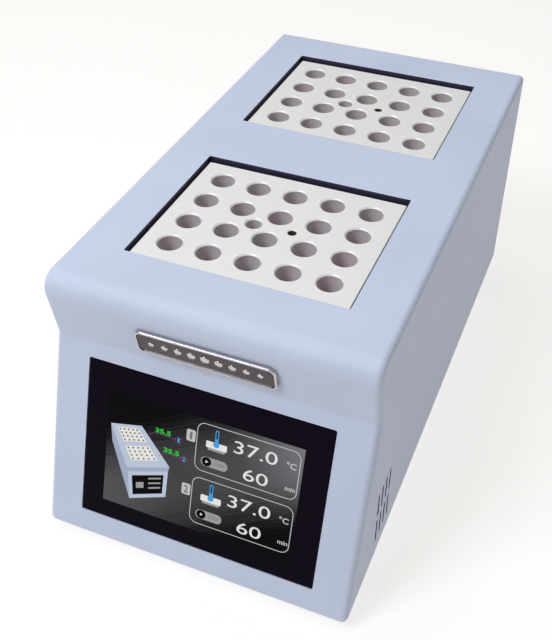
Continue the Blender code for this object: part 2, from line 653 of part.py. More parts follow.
def make_inlet(looks):
    """A snap-in mains inlet with three blades, and the drawer under them that holds the fuse."""
    face = GAP + INLET_FLANGE
    body = shape(add_box, (-0.0155, GAP, -0.019), (0.0155, face, 0.019), 0.0006)
    barrel = shape(add_box, (-0.0135, -0.0212, -0.017), (0.0135, GAP + 0.001, 0.017))
    socket_place = Matrix.Translation((0, face + 0.001, SOCKET_UP)) @ REAR_VIEW
    outline = socket_outline(SOCKET_X, SOCKET_Z, 0.004)
    socket = shape(add_prism, outline, SOCKET_DEPTH + 0.001, socket_place)
    drawer_room = shape(
        add_box,
        (-DRAWER_X / 2 - GAP, -DRAWER_DEPTH - 0.0012, -DRAWER_DOWN - DRAWER_Z / 2 - GAP),
        (DRAWER_X / 2 + GAP, face + 0.001, -DRAWER_DOWN + DRAWER_Z / 2 + GAP),
    )
    blades = {
        "inlet_blade_left": (-0.007, SOCKET_UP - 0.002),
        "inlet_blade_right": (0.007, SOCKET_UP - 0.002),
        "inlet_blade_earth": (0.0, SOCKET_UP + 0.002),
    }
    floor = face - SOCKET_DEPTH
    slots = bmesh.new()
    for x, z in blades.values():
        size = (0.002 + 2 * GAP, 0.020, 0.004 + 2 * GAP)
        add_centred(slots, size, (x, floor - 0.009, z))
    place = (INLET_X, REAR_Y, POWER_Z)
    steps = [
        ("UNION", barrel),
        ("DIFFERENCE", socket),
        ("DIFFERENCE", drawer_room),
        ("DIFFERENCE", slots),
    ]
    part("power_inlet", looks["black"], body, steps, place=place)
    for name, (x, z) in blades.items():
        blade = shape(
            add_box, (x - 0.001, -0.026, z - 0.002), (x + 0.001, floor + 0.010, z + 0.002), 0.0003
        )
        part(name, looks["nickel"], blade, place=place)
    drawer_place = (INLET_X, REAR_Y, POWER_Z - DRAWER_DOWN)
    plate = shape(add_box, (-0.0135, face + GAP, -0.0052), (0.0135, face + GAP + 0.0016, 0.0052))
    tray = shape(
        add_box,
        (-DRAWER_X / 2, -DRAWER_DEPTH, -DRAWER_Z / 2),
        (DRAWER_X / 2, face + GAP + 0.0005, DRAWER_Z / 2),
    )
    fuse_y = -DRAWER_DEPTH + 0.0014 + GAP + FUSE_RADIUS
    reach = FUSE_RADIUS + GAP
    half = FUSE_LENGTH / 2 + GAP
    pocket = shape(add_box, (-half, fuse_y - reach, -reach), (half, fuse_y + reach, DRAWER_Z))
    steps = [("UNION", tray), ("DIFFERENCE", pocket)]
    drawer = part("fuse_drawer", looks["black"], plate, steps, place=drawer_place)
    ends = Vector((FUSE_LENGTH / 2, fuse_y, 0)), Vector((-FUSE_LENGTH / 2, fuse_y, 0))
    part("fuse", looks["nickel"], shape(add_rod, FUSE_RADIUS, *ends, 12), parent=drawer)


def make_switch(looks):
    """A rocker switch: its housing, and the rocker on two short stubs."""
    face = GAP + SWITCH_FLANGE
    body = shape(add_box, (-0.0125, GAP, -0.0155), (0.0125, face, 0.0155), 0.0006)
    case = bmesh.new()
    add_box(case, (-0.0105, -0.018, -0.0135), (0.0105, GAP + 0.001, 0.0135))
    tabs = bmesh.new()
    for z in (-0.006, 0.006):
        add_centred(tabs, (0.0063, 0.010, 0.0008), (0, -0.022, z))
    room_x = ROCKER_HALF_WIDTH + 0.0004
    room = shape(add_box, (-room_x, face - 0.012, -0.012), (room_x, face + 0.001, 0.012))
    sockets = bmesh.new()
    for side in (-1, 1):
        ends = (side * (room_x - 0.001), -PIVOT_DEPTH, 0), (side * 0.0099, -PIVOT_DEPTH, 0)
        add_rod(sockets, PIVOT_RADIUS + GAP, *ends, 12)
    place = (SWITCH_X, REAR_Y, POWER_Z)
    steps = [
        ("UNION", case),
        ("UNION", tabs),
        ("DIFFERENCE", room),
        ("DIFFERENCE", sockets),
    ]
    part("switch_housing", looks["black"], body, steps, place=place)
    high, hub = ROCKER_HALF_HEIGHT, 0.004
    outline = [
        (-0.003, -hub),
        (0.001, -high + 0.0003),
        (ROCKER_LIP, -high),
        (ROCKER_LIP - 0.0018, 0),
        (ROCKER_LIP, high),
        (0.001, high - 0.0003),
        (-0.003, hub),
    ]
    rocker = shape(add_prism, outline, 2 * ROCKER_HALF_WIDTH, SIDE_VIEW)
    bmesh.ops.translate(rocker, vec=(-ROCKER_HALF_WIDTH, 0, 0), verts=rocker.verts)
    stubs = shape(add_rod, PIVOT_RADIUS, (-0.0096, 0, 0), (0.0096, 0, 0), 12)
    part(
        "power_rocker",
        looks["black"],
        rocker,
        [("UNION", stubs)],
        place=(SWITCH_X, REAR_Y - PIVOT_DEPTH, POWER_Z),
        turn=ROCKER_TILT,
    )


def make_looks():
    return {
        "housing": look("powder_coated_housing", "#C4CFE3", 0.5),
        "sheet": look("painted_sheet_steel", "#B9C3DC", 0.5),
        "steel": look("zinc_plated_steel", "#A9ABB0", 0.35, 1.0),
        "rubber": look("black_rubber", "#1D1C1E", 0.8),
        "glass": look("black_cover_glass", "#120C16", 0.08),
        "black": look("black_nylon", "#1A1A1C", 0.45),
        "board": look("green_circuit_board", "#1F5A3A", 0.5),
        "badge": look("chromed_name_plate", "#B8B6BC", 0.2, 1.0),
        "block": look("bead_blasted_aluminium", "#E8E8E2", 0.45, 0.3),
        "well": look("dark_anodised_aluminium", "#3A3550", 0.5, 0.6),
        "silicone": look("silicone_heater", "#B4482C", 0.7),
        "wool": look("ceramic_wool_board", "#E9E4D8", 0.95),
        "brass": look("nickel_plated_brass", "#B9A878", 0.3, 1.0),
        "aluminium": look("extruded_aluminium", "#A8AAAC", 0.4, 1.0),
        "cable": look("grey_ribbon_cable", "#8C8E92", 0.6),
        "nickel": look("nickel_plate", "#BDBBB4", 0.25, 1.0),
    }


def main():
    clear_scene()
    looks = make_looks()
    up_slope = Vector((sin(FRONT_TILT), cos(FRONT_TILT)))
    glass_middle = CREASE - up_slope * (GLASS_BELOW_CREASE + GLASS_Y / 2)
    display = frame_on_slope("display_frame", *glass_middle, pi / 2 - FRONT_TILT)
    up_fascia = Vector((-sin(FASCIA_LEAN), cos(FASCIA_LEAN)))
    badge_middle = CREASE + up_fascia * BADGE_ABOVE_CREASE
    fascia = frame_on_slope("fascia_frame", *badge_middle, pi / 2 + FASCIA_LEAN)
    make_cover(looks["housing"], display)
    make_base(looks["sheet"])
    make_rear_panel(looks["sheet"])
    make_feet(looks["rubber"], looks["steel"])
    make_rear_screws(looks["steel"])
    make_display(looks, display)
    make_badge(looks["badge"], fascia)
    for end, y in BLOCK_Y.items():
        make_block(f"{end}_block", looks["block"], y)
        make_heating(end, y, looks)
    make_electronics(looks)
    make_ribbon(looks["cable"], display)
    make_mains_lead(looks["cable"])
    make_inlet(looks)
    make_switch(looks)


main()
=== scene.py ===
"""Looks of a dry block heater with two lift-out tube blocks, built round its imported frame.

Axes: +X to the user's right, +Y to the back, +Z up. Everything is in metres. Each finished
piece sits at the origin with its place in its mesh.
"""

from math import atan2, cos, pi, radians, sin, tan

import bmesh
import bpy
from bpy.props import FloatProperty, FloatVectorProperty, PointerProperty
from mathutils import Matrix, Vector


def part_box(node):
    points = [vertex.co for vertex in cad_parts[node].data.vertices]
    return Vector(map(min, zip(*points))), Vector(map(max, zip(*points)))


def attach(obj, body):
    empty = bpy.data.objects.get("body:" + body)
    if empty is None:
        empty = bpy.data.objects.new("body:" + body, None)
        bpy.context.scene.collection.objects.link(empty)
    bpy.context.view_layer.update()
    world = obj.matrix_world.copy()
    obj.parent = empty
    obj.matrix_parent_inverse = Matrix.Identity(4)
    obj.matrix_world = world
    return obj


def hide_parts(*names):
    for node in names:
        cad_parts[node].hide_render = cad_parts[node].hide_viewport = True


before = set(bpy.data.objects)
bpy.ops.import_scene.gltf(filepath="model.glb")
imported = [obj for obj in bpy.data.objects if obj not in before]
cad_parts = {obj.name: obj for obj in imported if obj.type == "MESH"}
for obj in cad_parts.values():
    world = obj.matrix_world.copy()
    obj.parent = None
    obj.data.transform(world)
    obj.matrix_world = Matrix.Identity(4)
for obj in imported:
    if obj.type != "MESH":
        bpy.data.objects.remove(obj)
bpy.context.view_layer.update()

bl_info = {
    "name": "Dry block heater",
    "version": (1, 0, 0),
    "blender": (4, 5, 0),
    "location": "3D View > Sidebar > Heater",
    "description": "Builds the visible pieces of a two-block dry bath heater",
    "category": "Object",
}

ENDS, HANDS = ("front", "rear"), ("left", "right")
CORNERS = [f"{end}_{hand}" for end in ENDS for hand in HANDS]

# Where the frame puts things
COVER_LOW, COVER_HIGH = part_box("top_cover")
TOP_Z, SKIRT_Z = COVER_HIGH.z, COVER_LOW.z
REAR_Y = COVER_HIGH.y
HALF_WIDTH = COVER_HIGH.x
BLOCK_BOX = {end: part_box(f"{end}_block") for end in ENDS}
WELL_BOX = {end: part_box(f"{end}_well") for end in ENDS}

# Housing shell
LENGTH = 0.2719  # from the sharp foot of the sloping front to the rear panel
FRONT_Y = REAR_Y - LENGTH
CREASE = Vector((FRONT_Y + 0.0279, TOP_Z - 0.0323))  # the fold over the display, as (y, z)
FASCIA_LEAN = radians(10.9)
NOSE_RADIUS = 0.0082
FOLD_RADIUS = 0.003
WALL = 0.0035
SHEET = 0.002
GAP = 0.0003
FRONT_TILT = atan2(CREASE.x - FRONT_Y, CREASE.y - SKIRT_Z)
WINDOW_X, WINDOW_Y = 0.0973, 0.0805
SLOT_WIDTH, SLOT_PITCH, SLOTS_IN_ROW = 0.0018, 0.0052, 4
SLOT_FIRST_BACK = 0.0364
SLOT_ROWS = ((0.0168, 0.0302), (0.0333, 0.0463))

# Blocks
COLUMNS, ROWS = 5, 4
HOLE_PITCH_X, HOLE_PITCH_Y = 0.0176, 0.0173
TUBE_RADIUS, TUBE_DEPTH = 0.0053, 0.037
THERMOMETER_RADIUS, THERMOMETER_DEPTH = 0.0035, 0.040
LIFTER_RADIUS, LIFTER_DEPTH = 0.0019, 0.015
DRILL_POINT = radians(59)  # half the angle of a drill's point

# Display. On the glass X runs across the housing and Y up the slope, in mm from its middle
GLASS_X, GLASS_Y, GLASS_THICK = 0.1078, 0.074, 0.003
GLASS_SHEEN = 0.03  # how strongly the coated glass still mirrors what is round it
BAND_CLIMB = radians(28)  # the slant of the grey band across the lit picture
LIT_LEFT, LIT_RIGHT, LIT_LOW, LIT_HIGH = -44, 43, -28.6, 25.2
LAYER = 0.03  # each printed or lit layer lies this far over the one below it
CHANNEL_DROP = 25.6  # from the first channel's settings to the second's

# Fastening
SCREW_HOLE, BOSS_DEPTH = 0.0018, 0.010
FOOT_X, FOOT_FRONT_BACK, FOOT_REAR_BACK = 0.056, 0.026, 0.248
REAR_SCREW_X, REAR_SCREW_LOW, REAR_SCREW_HIGH = 0.058, 0.020, 0.115

FLOOR_CLEARANCE = 0.0001  # keeps the floor from lying in the same plane as the feet

# Power inlet and switch, at the middles of their faces on the rear panel
INLET, SWITCH = Vector((-0.026, REAR_Y, 0.033)), Vector((0.026, REAR_Y, 0.033))
INLET_CUT, SWITCH_CUT = (0.0276, 0.0346), (0.0216, 0.0276)
ROCKER_PIVOT, ROCKER_TILT = SWITCH - Vector((0, 0.001, 0)), radians(9)
VENT_WIDTH, VENT_HEIGHT, VENT_PITCH, VENT_Z = 0.003, 0.026, 0.0075, 0.087

# Camera and lights, from the front block's window and the middle of the housing's top
CAMERA_LENS, CAMERA_SHIFT = 54.52, (-0.0157, -0.0781)
CAMERA_PLACE, CAMERA_TURN = (0.1304, -0.3092, 0.2327), (52.55, -0.41, 22.2)
COOL, COOLER, WARM = (0.97, 1.0, 1.02), (0.96, 1.0, 1.05), (1.0, 0.97, 0.94)
PALE_SKY = (0.96, 0.98, 1.0, 1.0)

# The glass lies in the sloping front, so its middle is the middle of its box moved to the face
OUT_OF_SLOPE = Vector((0, -cos(FRONT_TILT), sin(FRONT_TILT)))
GLASS_MIDDLE = sum(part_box("touch_glass"), Vector()) / 2 + OUT_OF_SLOPE * GLASS_THICK / 2
ON_GLASS = Matrix.Translation(GLASS_MIDDLE) @ Matrix.Rotation(pi / 2 - FRONT_TILT, 4, "X")

# The badge lies on the fascia, whose face leans forward as it rises
OUT_OF_FASCIA = Vector((0, -cos(FASCIA_LEAN), -sin(FASCIA_LEAN)))
BADGE_LOW, BADGE_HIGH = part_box("badge")
BADGE_SIZE = Vector((BADGE_HIGH.x - BADGE_LOW.x, 0.0125, 0.0014))
BADGE_BACK = (BADGE_LOW + BADGE_HIGH) / 2 - OUT_OF_FASCIA * BADGE_SIZE.z / 2
ON_FASCIA = Matrix.Translation(BADGE_BACK) @ Matrix.Rotation(pi / 2 + FASCIA_LEAN, 4, "X")


def linear(value):
    return value / 12.92 if value <= 0.04045 else ((value + 0.055) / 1.055) ** 2.4


def colour(hex_value):
    """An sRGB hex colour as linear red, green, blue and alpha."""
    return (*[linear(int(hex_value[i : i + 2], 16) / 255) for i in (1, 3, 5)], 1.0)


SCREEN_BLACK = colour("#050305")


def per_mm(size):
    """The scale that makes a pattern on Object coordinates repeat about every size in mm."""
    return 1000.0 / size


def add_node(tree, kind, inputs, **settings):
    """A node of one kind with its settings. An input is given a value or another socket."""
    node = tree.nodes.new("ShaderNode" + kind)
    for name, value in settings.items():
        setattr(node, name, value)
    for name, value in inputs.items():
        socket = node.inputs[name]
        if isinstance(value, bpy.types.NodeSocket):
            tree.links.new(value, socket)
        else:
            socket.default_value = value
    return node


def new_material(name, base, roughness, metallic=0.0, **sockets):
    """A Principled material, and its tree, shader and Object coordinates to build on."""
    made = bpy.data.materials.new(name)
    made.use_nodes = True
    tree = made.node_tree
    shader = tree.nodes["Principled BSDF"]
    shader.inputs["Base Color"].default_value = base
    shader.inputs["Roughness"].default_value = roughness
    shader.inputs["Metallic"].default_value = metallic
    for socket, value in sockets.items():
        shader.inputs[socket.replace("_", " ")].default_value = value
    place = add_node(tree, "TexCoord", {}).outputs["Object"]
    return made, tree, shader, place


def shaded(base, factor):
    """A colour made darker or lighter by a factor."""
    return (*[channel * factor for channel in base[:3]], 1.0)


def follow(tree, shader, pattern, low, high, rough, depth):
    """Colour and roughness run from low to high with a pattern, which also stands up by depth."""
    spread = add_node(tree, "MapRange", {"Value": pattern, "From Min": 0.3, "From Max": 0.7})
    share = spread.outputs[0]
    mixed = add_node(tree, "Mix", {0: share, 6: low, 7: high}, data_type="RGBA")
    tree.links.new(mixed.outputs[2], shader.inputs["Base Color"])
    uneven = add_node(tree, "MapRange", {"Value": share, "To Min": rough[0], "To Max": rough[1]})
    tree.links.new(uneven.outputs[0], shader.inputs["Roughness"])
    if depth:
        bump = add_node(tree, "Bump", {"Height": pattern, "Distance": depth})
        tree.links.new(bump.outputs[0], shader.inputs["Normal"])


def grained(name, low, high, rough, size, depth=0.0, metallic=0.0, stretch=(1, 1, 1), **sockets):
    """A material with a random grain of a size in mm, drawn out where the stretch is small."""
    made, tree, shader, place = new_material(name, low, rough[0], metallic, **sockets)
    drawn = add_node(tree, "Mapping", {"Vector": place, "Scale": stretch}).outputs[0]
    grain = add_node(tree, "TexNoise", {"Vector": drawn, "Scale": per_mm(size), "Detail": 3.0})
    follow(tree, shader, grain.outputs["Fac"], low, high, rough, depth)
    return made


def ridged(name, low, high, rough, pitch, depth, metallic=0.0, along="Z"):
    """A material with even ridges a pitch in mm apart along one axis."""
    made, tree, shader, place = new_material(name, low, rough[0], metallic)
    # A wave texture repeats 20 / (2 pi) times in each unit of its scale
    scale = per_mm(pitch) * 2 * pi / 20
    ridges = add_node(tree, "TexWave", {"Vector": place, "Scale": scale}, bands_direction=along)
    follow(tree, shader, ridges.outputs["Fac"], low, high, rough, depth)
    return made


def powder_coated_steel(base):
    """Powder coat baked on sheet steel: satin, faintly clouded, with a fine orange peel."""
    made, tree, shader, place = new_material(
        "powder_coated_steel", base, 0.55, Specular_IOR_Level=0.25
    )
    peel, cloud = [
        add_node(tree, "TexNoise", {"Vector": place, "Scale": per_mm(size), "Detail": 2.0})
        for size in (1.5, 45)
    ]
    mostly_cloud = add_node(
        tree,
        "Math",
        {0: peel.outputs["Fac"], 1: 0.15, 2: cloud.outputs["Fac"]},
        operation="MULTIPLY_ADD",
    )
    low, high = shaded(base, 0.97), shaded(base, 1.02)
    follow(tree, shader, mostly_cloud.outputs[0], low, high, (0.5, 0.62), 0)
    bump = add_node(tree, "Bump", {"Height": peel.outputs["Fac"], "Distance": 0.000008})
    tree.links.new(bump.outputs[0], shader.inputs["Normal"])
    return made


def blasted_aluminium(base):
    """Bead-blasted aluminium under clear anodising: pale, matt and faintly grainy."""
    low, high = shaded(base, 0.95), shaded(base, 1.03)
    return grained("blasted_aluminium", low, high, (0.46, 0.58), 0.6, 0.000006, 0.15)


def drilled_aluminium(base):
    """The same metal inside the holes, with the fine rings that a drill leaves."""
    return ridged("drilled_aluminium", shaded(base, 0.9), base, (0.4, 0.5), 0.8, 0.000006)


def threaded_steel():
    """Thread in the lifter's hole: dark brown as painted shade of the narrow hole, with the ridges
    of its turns.
    """
    low, high = colour("#5A4642"), colour("#826862")
    return ridged("threaded_steel", low, high, (0.35, 0.5), 0.7, 0.0001, 0.4)


def dark_anodised_aluminium(base):
    """Dark, dull, slightly violet metal with the grain of a sand mould, for the wells; the same
    finish is painted shade on the housing's cut edges round the windows and in the air slots.
    """
    low, high = shaded(base, 0.8), shaded(base, 1.15)
    return grained("dark_anodised_aluminium", low, high, (0.45, 0.6), 0.8, 0.00001, 0.4)


def black_cover_glass(base):
    """Black-printed glass with an anti-glare coat: near black, with a faint, smeared sheen."""
    low, high = shaded(base, 0.95), shaded(base, 1.05)
    sheen = {"Specular_IOR_Level": GLASS_SHEEN}
    return grained("black_cover_glass", low, high, (0.06, 0.12), 18, **sheen)


def screen_material(name, strength):
    """A near-black screen surface that can glow."""
    glow = {"Specular_IOR_Level": GLASS_SHEEN, "Emission_Strength": strength}
    return new_material(name, SCREEN_BLACK, 0.1, **glow)


def lit_background(strength):
    """The screen's backdrop: a brushed grey band that climbs to the right and fades to black."""
    made, tree, shader, place = screen_material("lit_background", strength)
    band = ON_GLASS @ Matrix.Translation((0, -0.002, 0)) @ Matrix.Rotation(BAND_CLIMB, 4, "Z")
    pose = {"Location": band.to_translation(), "Rotation": band.to_euler()}
    local = add_node(tree, "Mapping", {"Vector": place, **pose}, vector_type="TEXTURE").outputs[0]
    split = add_node(tree, "SeparateXYZ", {"Vector": local})
    along = add_node(
        tree, "MapRange", {"Value": split.outputs["X"], "From Min": -0.05, "From Max": 0.05}
    )
    greys = add_node(tree, "ValToRGB", {"Fac": along.outputs[0]})
    ramp = greys.color_ramp
    ramp.elements[0].color = colour("#565658")
    ramp.elements[1].color = colour("#78787C")
    ramp.elements.new(0.4).color = colour("#444447")
    ramp.elements.new(0.72).color = colour("#4C4C4F")
    off_middle = add_node(tree, "Math", {0: split.outputs["Y"]}, operation="ABSOLUTE")
    drawn = add_node(tree, "Mapping", {"Vector": local, "Scale": (0.03, 1, 1)}).outputs[0]
    brushed = add_node(tree, "TexNoise", {"Vector": drawn, "Scale": per_mm(0.9), "Detail": 3.0})
    wavy = add_node(
        tree,
        "Math",
        {0: brushed.outputs["Fac"], 1: 0.014, 2: off_middle.outputs[0]},
        operation="MULTIPLY_ADD",
    )
    fade = add_node(
        tree,
        "MapRange",
        {"Value": wavy.outputs[0], "From Min": 0.037, "From Max": 0.011},
        interpolation_type="SMOOTHSTEP",
    )
    mixed = add_node(
        tree,
        "Mix",
        {0: fade.outputs[0], 6: SCREEN_BLACK, 7: greys.outputs["Color"]},
        data_type="RGBA",
    )
    tree.links.new(mixed.outputs[2], shader.inputs["Emission Color"])
    return made


def lit(name, hex_value):
    """One lit colour on the screen, with the faint squares of its 0.2 mm picture cells."""
    made, tree, shader, place = screen_material(name, tones().glow)
    base = colour(hex_value)
    shades = {"Color1": base, "Color2": shaded(base, 0.94)}
    cells = add_node(tree, "TexChecker", {"Vector": place, "Scale": per_mm(0.2), **shades})
    tree.links.new(cells.outputs["Color"], shader.inputs["Emission Color"])
    return made


def black_nylon():
    """Moulded black nylon with a fine spark-eroded texture."""
    return grained("black_nylon", colour("#161618"), colour("#202022"), (0.4, 0.55), 0.5, 0.000012)


def black_rubber():
    """Moulded rubber: matt black with a bloom of grey."""
    return grained("black_rubber", colour("#18171A"), colour("#272628"), (0.75, 0.9), 0.8, 0.00002)


def zinc_plated_steel():
    """Bright zinc plate: pale grey with soft cloudy patches."""
    low, high = colour("#9B9DA3"), colour("#B9BBC0")
    return grained("zinc_plated_steel", low, high, (0.28, 0.42), 6, metallic=1.0)


def polished_chrome(base):
    """Chrome plate on the name plate: bright, with the faintest hairlines from polishing."""
    low, along = shaded(base, 0.94), (0.04, 1, 1)
    return grained("polished_chrome", low, base, (0.14, 0.26), 0.3, metallic=1.0, stretch=along)


def baked_enamel(base):
    """Baked enamel in the name plate's recess: dark plum brown, glossy and slightly uneven."""
    return grained("baked_enamel", shaded(base, 0.85), shaded(base, 1.2), (0.22, 0.34), 3, 0.00003)


def nickel_plate():
    """Bright nickel: a warm metal with fine drawing lines along the contact."""
    low, high, along = colour("#B3B1AA"), colour("#C4C2BB"), (1, 0.05, 1)
    return grained("nickel_plate", low, high, (0.2, 0.34), 0.25, metallic=1.0, stretch=along)


def nickel_plated_brass():
    """Turned brass standoffs, where the plate lets a little yellow through."""
    low, high = colour("#AC9A66"), colour("#C7BA90")
    return grained("nickel_plated_brass", low, high, (0.26, 0.36), 3, metallic=1.0)


def extruded_aluminium():
    """Mill-finish extrusion, with die lines along its length."""
    low, high, along = colour("#9EA0A2"), colour("#B2B4B6"), (1, 0.03, 1)
    return grained("extruded_aluminium", low, high, (0.32, 0.5), 0.6, 0.00001, 1.0, along)


def ceramic_fibre_board():
    """Pressed ceramic fibre board: off white, matt, with matted fibres."""
    low, high, along = colour("#D9D2C2"), colour("#F1EDE4"), (0.2, 1, 1)
    return grained("ceramic_fibre_board", low, high, (0.9, 1.0), 0.8, 0.00015, stretch=along)


def grey_pvc():
    """PVC insulation on ribbon and lead: mid grey, with the ridges of its cores."""
    low, high = colour("#7C7E82"), colour("#9A9CA0")
    return ridged("grey_pvc", low, high, (0.5, 0.6), 1.27, 0.00015, along="X")


def pad_print():
    """White pad-printed ink: chalky, a little uneven."""
    return grained("pad_print", colour("#C9C9C7"), colour("#E4E4E2"), (0.55, 0.7), 0.8)


def tiled(name, hex_values, roughness, size, joint, depth, sunk, **lay):
    """A material of even fields with sunk or raised joints, such as cloth or copper tracks."""
    first, second, between = [colour(value) for value in hex_values]
    made, tree, shader, place = new_material(name, first, roughness)
    fields = {"Color1": first, "Color2": second, "Mortar": between, "Mortar Size": joint}
    pattern = add_node(tree, "TexBrick", {"Vector": place, "Scale": per_mm(size), **fields}, **lay)
    tree.links.new(pattern.outputs["Color"], shader.inputs["Base Color"])
    height = {"Height": pattern.outputs["Fac"], "Distance": depth}
    bump = add_node(tree, "Bump", height, invert=sunk)
    tree.links.new(bump.outputs[0], shader.inputs["Normal"])
    return made


def silicone_rubber():
    """Moulded silicone heater mat: brick red, with the glass cloth inside it showing through."""
    reds = ("#B4482C", "#A9412A", "#8F3521")
    return tiled("silicone_rubber", reds, 0.7, 1.2, 0.06, 0.00004, True, offset=0.5)


def circuit_board():
    """Glass-epoxy board under green solder mask, with copper tracks raised under it."""
    greens, lay = ("#1B5235", "#1F5F3C", "#2F7A4E"), {"offset": 0.35, "squash": 0.6}
    return tiled("circuit_board", greens, 0.4, 9, 0.05, 0.00003, False, **lay)


def pale_light_table(base):
    """The matt light table under the object, not part of it: its own glow thins the shadows."""
    glow = {"Emission_Color": (1.0, 0.975, 0.94, 1.0), "Emission_Strength": 0.72}
    return grained("pale_light_table", shaded(base, 0.99), base, (0.85, 0.95), 2, **glow)


def finish(maker, *values):
    """One shared material, named after its maker and made when a piece first asks for it."""
    return bpy.data.materials.get(maker.__name__) or maker(*values)


def add_box(bm, low, high):
    """A box between two corners, and its vertices."""
    low, high = Vector(low), Vector(high)
    made = bmesh.ops.create_cube(bm, size=1)["verts"]
    bmesh.ops.scale(bm, vec=high - low, verts=made)
    bmesh.ops.translate(bm, vec=(low + high) / 2, verts=made)
    return made


def edges_of(verts, along=None):
    """The edges among some vertices, or only those that run along one axis (0, 1 or 2)."""
    edges = {edge for vert in verts for edge in vert.link_edges if edge.other_vert(vert) in verts}
    if along is None:
        return list(edges)
    return [e for e in edges if abs((e.verts[0].co - e.verts[1].co).normalized()[along]) > 0.99]


def soften(bm, geom, offset, segments, affect="EDGES"):
    """Rounds some edges, or the corners of a flat face."""
    bmesh.ops.bevel(
        bm,
        geom=geom,
        offset=offset,
        offset_type="OFFSET",
        affect=affect,
        segments=segments,
        profile=0.5,
        material=-1,
        clamp_overlap=affect == "EDGES",
    )


def soft_box(low, high, radius, segments=3, corner=0.0, along=2):
    """A box with all its edges rounded, after its corners along one axis are rounded more."""
    bm = bmesh.new()
    made = add_box(bm, low, high)
    if corner:
        soften(bm, edges_of(made, along), corner, 6)
    if radius:
        soften(bm, [e for e in bm.edges if e.calc_face_angle(0) > 0.7], radius, segments)
    return bm


def rounded_bar(low, high, along, corner, segments=6):
    """A cutter or bar whose four long edges, along one axis, are rounded."""
    bm = bmesh.new()
    made = add_box(bm, low, high)
    soften(bm, edges_of(made, along), corner, segments)
    return bm


def turned(profile, steps=40):
    """A profile of (radius, height) points turned about Z."""
    bm = bmesh.new()
    verts = [bm.verts.new((r, 0, z)) for r, z in profile]
    edges = [bm.edges.new(pair) for pair in zip(verts, verts[1:])]
    if profile[0][0] > 0:
        edges.append(bm.edges.new((verts[-1], verts[0])))
    bmesh.ops.spin(
        bm,
        geom=verts + edges,
        cent=(0, 0, 0),
        axis=(0, 0, 1),
        angle=2 * pi,
        steps=steps,
        use_merge=True,
    )
    bmesh.ops.remove_doubles(bm, verts=bm.verts, dist=1e-7)
    bmesh.ops.recalc_face_normals(bm, faces=bm.faces)
    return bm


def push(bm, face, vec, **settings):
    """Extrudes a face and moves the new side away."""
    made = bmesh.ops.extrude_face_region(bm, geom=[face], **settings)["geom"]
    far = [item for item in made if isinstance(item, bmesh.types.BMVert)]
    bmesh.ops.translate(bm, vec=vec, verts=far)
    return far


def near(place, low, high):
    """Two corners given in mm from a place."""
    return [place + Vector(corner) / 1000 for corner in (low, high)]


def moved(bm, matrix):
    bmesh.ops.transform(bm, matrix=matrix, verts=bm.verts)
    return bm


def put(name, data):
    """A new object in the scene."""
    made = bpy.data.objects.new(name, data)
    bpy.context.scene.collection.objects.link(made)
    return made


def mesh_of(name, bm):
    """A bmesh as a mesh; the bmesh is freed."""
    mesh = bpy.data.meshes.new(name)
    bm.to_mesh(mesh)
    bm.free()
    return mesh


def join(bm, other):
    """Adds another bmesh's shape to the first one."""
    spare = mesh_of("spare", other)
    bm.from_mesh(spare)
    bpy.data.meshes.remove(spare)
    return bm


def carve(blank, cutters, operation="DIFFERENCE"):
    """The blank with each cutter taken out of it, or joined to it, as a new bmesh."""
    body, *tools = [put("helper", mesh_of("helper", bm)) for bm in (blank, *cutters)]
    for tool in tools:
        cut = body.modifiers.new("cut", "BOOLEAN")
        cut.operation = operation
        cut.solver = "EXACT"
        cut.object = tool
    result = bmesh.new()
    result.from_object(body, bpy.context.evaluated_depsgraph_get())
    for item in [body, *tools]:
        mesh = item.data
        bpy.data.objects.remove(item)
        bpy.data.meshes.remove(mesh)
    return result


def settle(name, bm, looks, body, nodes=(), crease=35.0):
    """A finished piece: its mesh, its finishes, the body it rides on and what it stands for."""
    mesh = mesh_of(name, bm)
    for look in looks:
        mesh.materials.append(look)
    mesh.shade_smooth()
    mesh.set_sharp_from_angle(angle=radians(crease))
    piece = put(name, mesh)
    even = piece.modifiers.new("even_shading", "WEIGHTED_NORMAL")
    even.keep_sharp = True
    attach(piece, body)
    if nodes:
        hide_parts(*nodes)
    return piece


def sizes():
    return bpy.context.scene.heater_sizes


def tones():
    return bpy.context.scene.heater_colours


def housing_paint():
    return finish(powder_coated_steel, tones().housing)


# The wells' dark finish, which also paints shade on the housing's cut edges round the windows and
# in the air slots.
def well_look():
    return finish(dark_anodised_aluminium, tones().well)


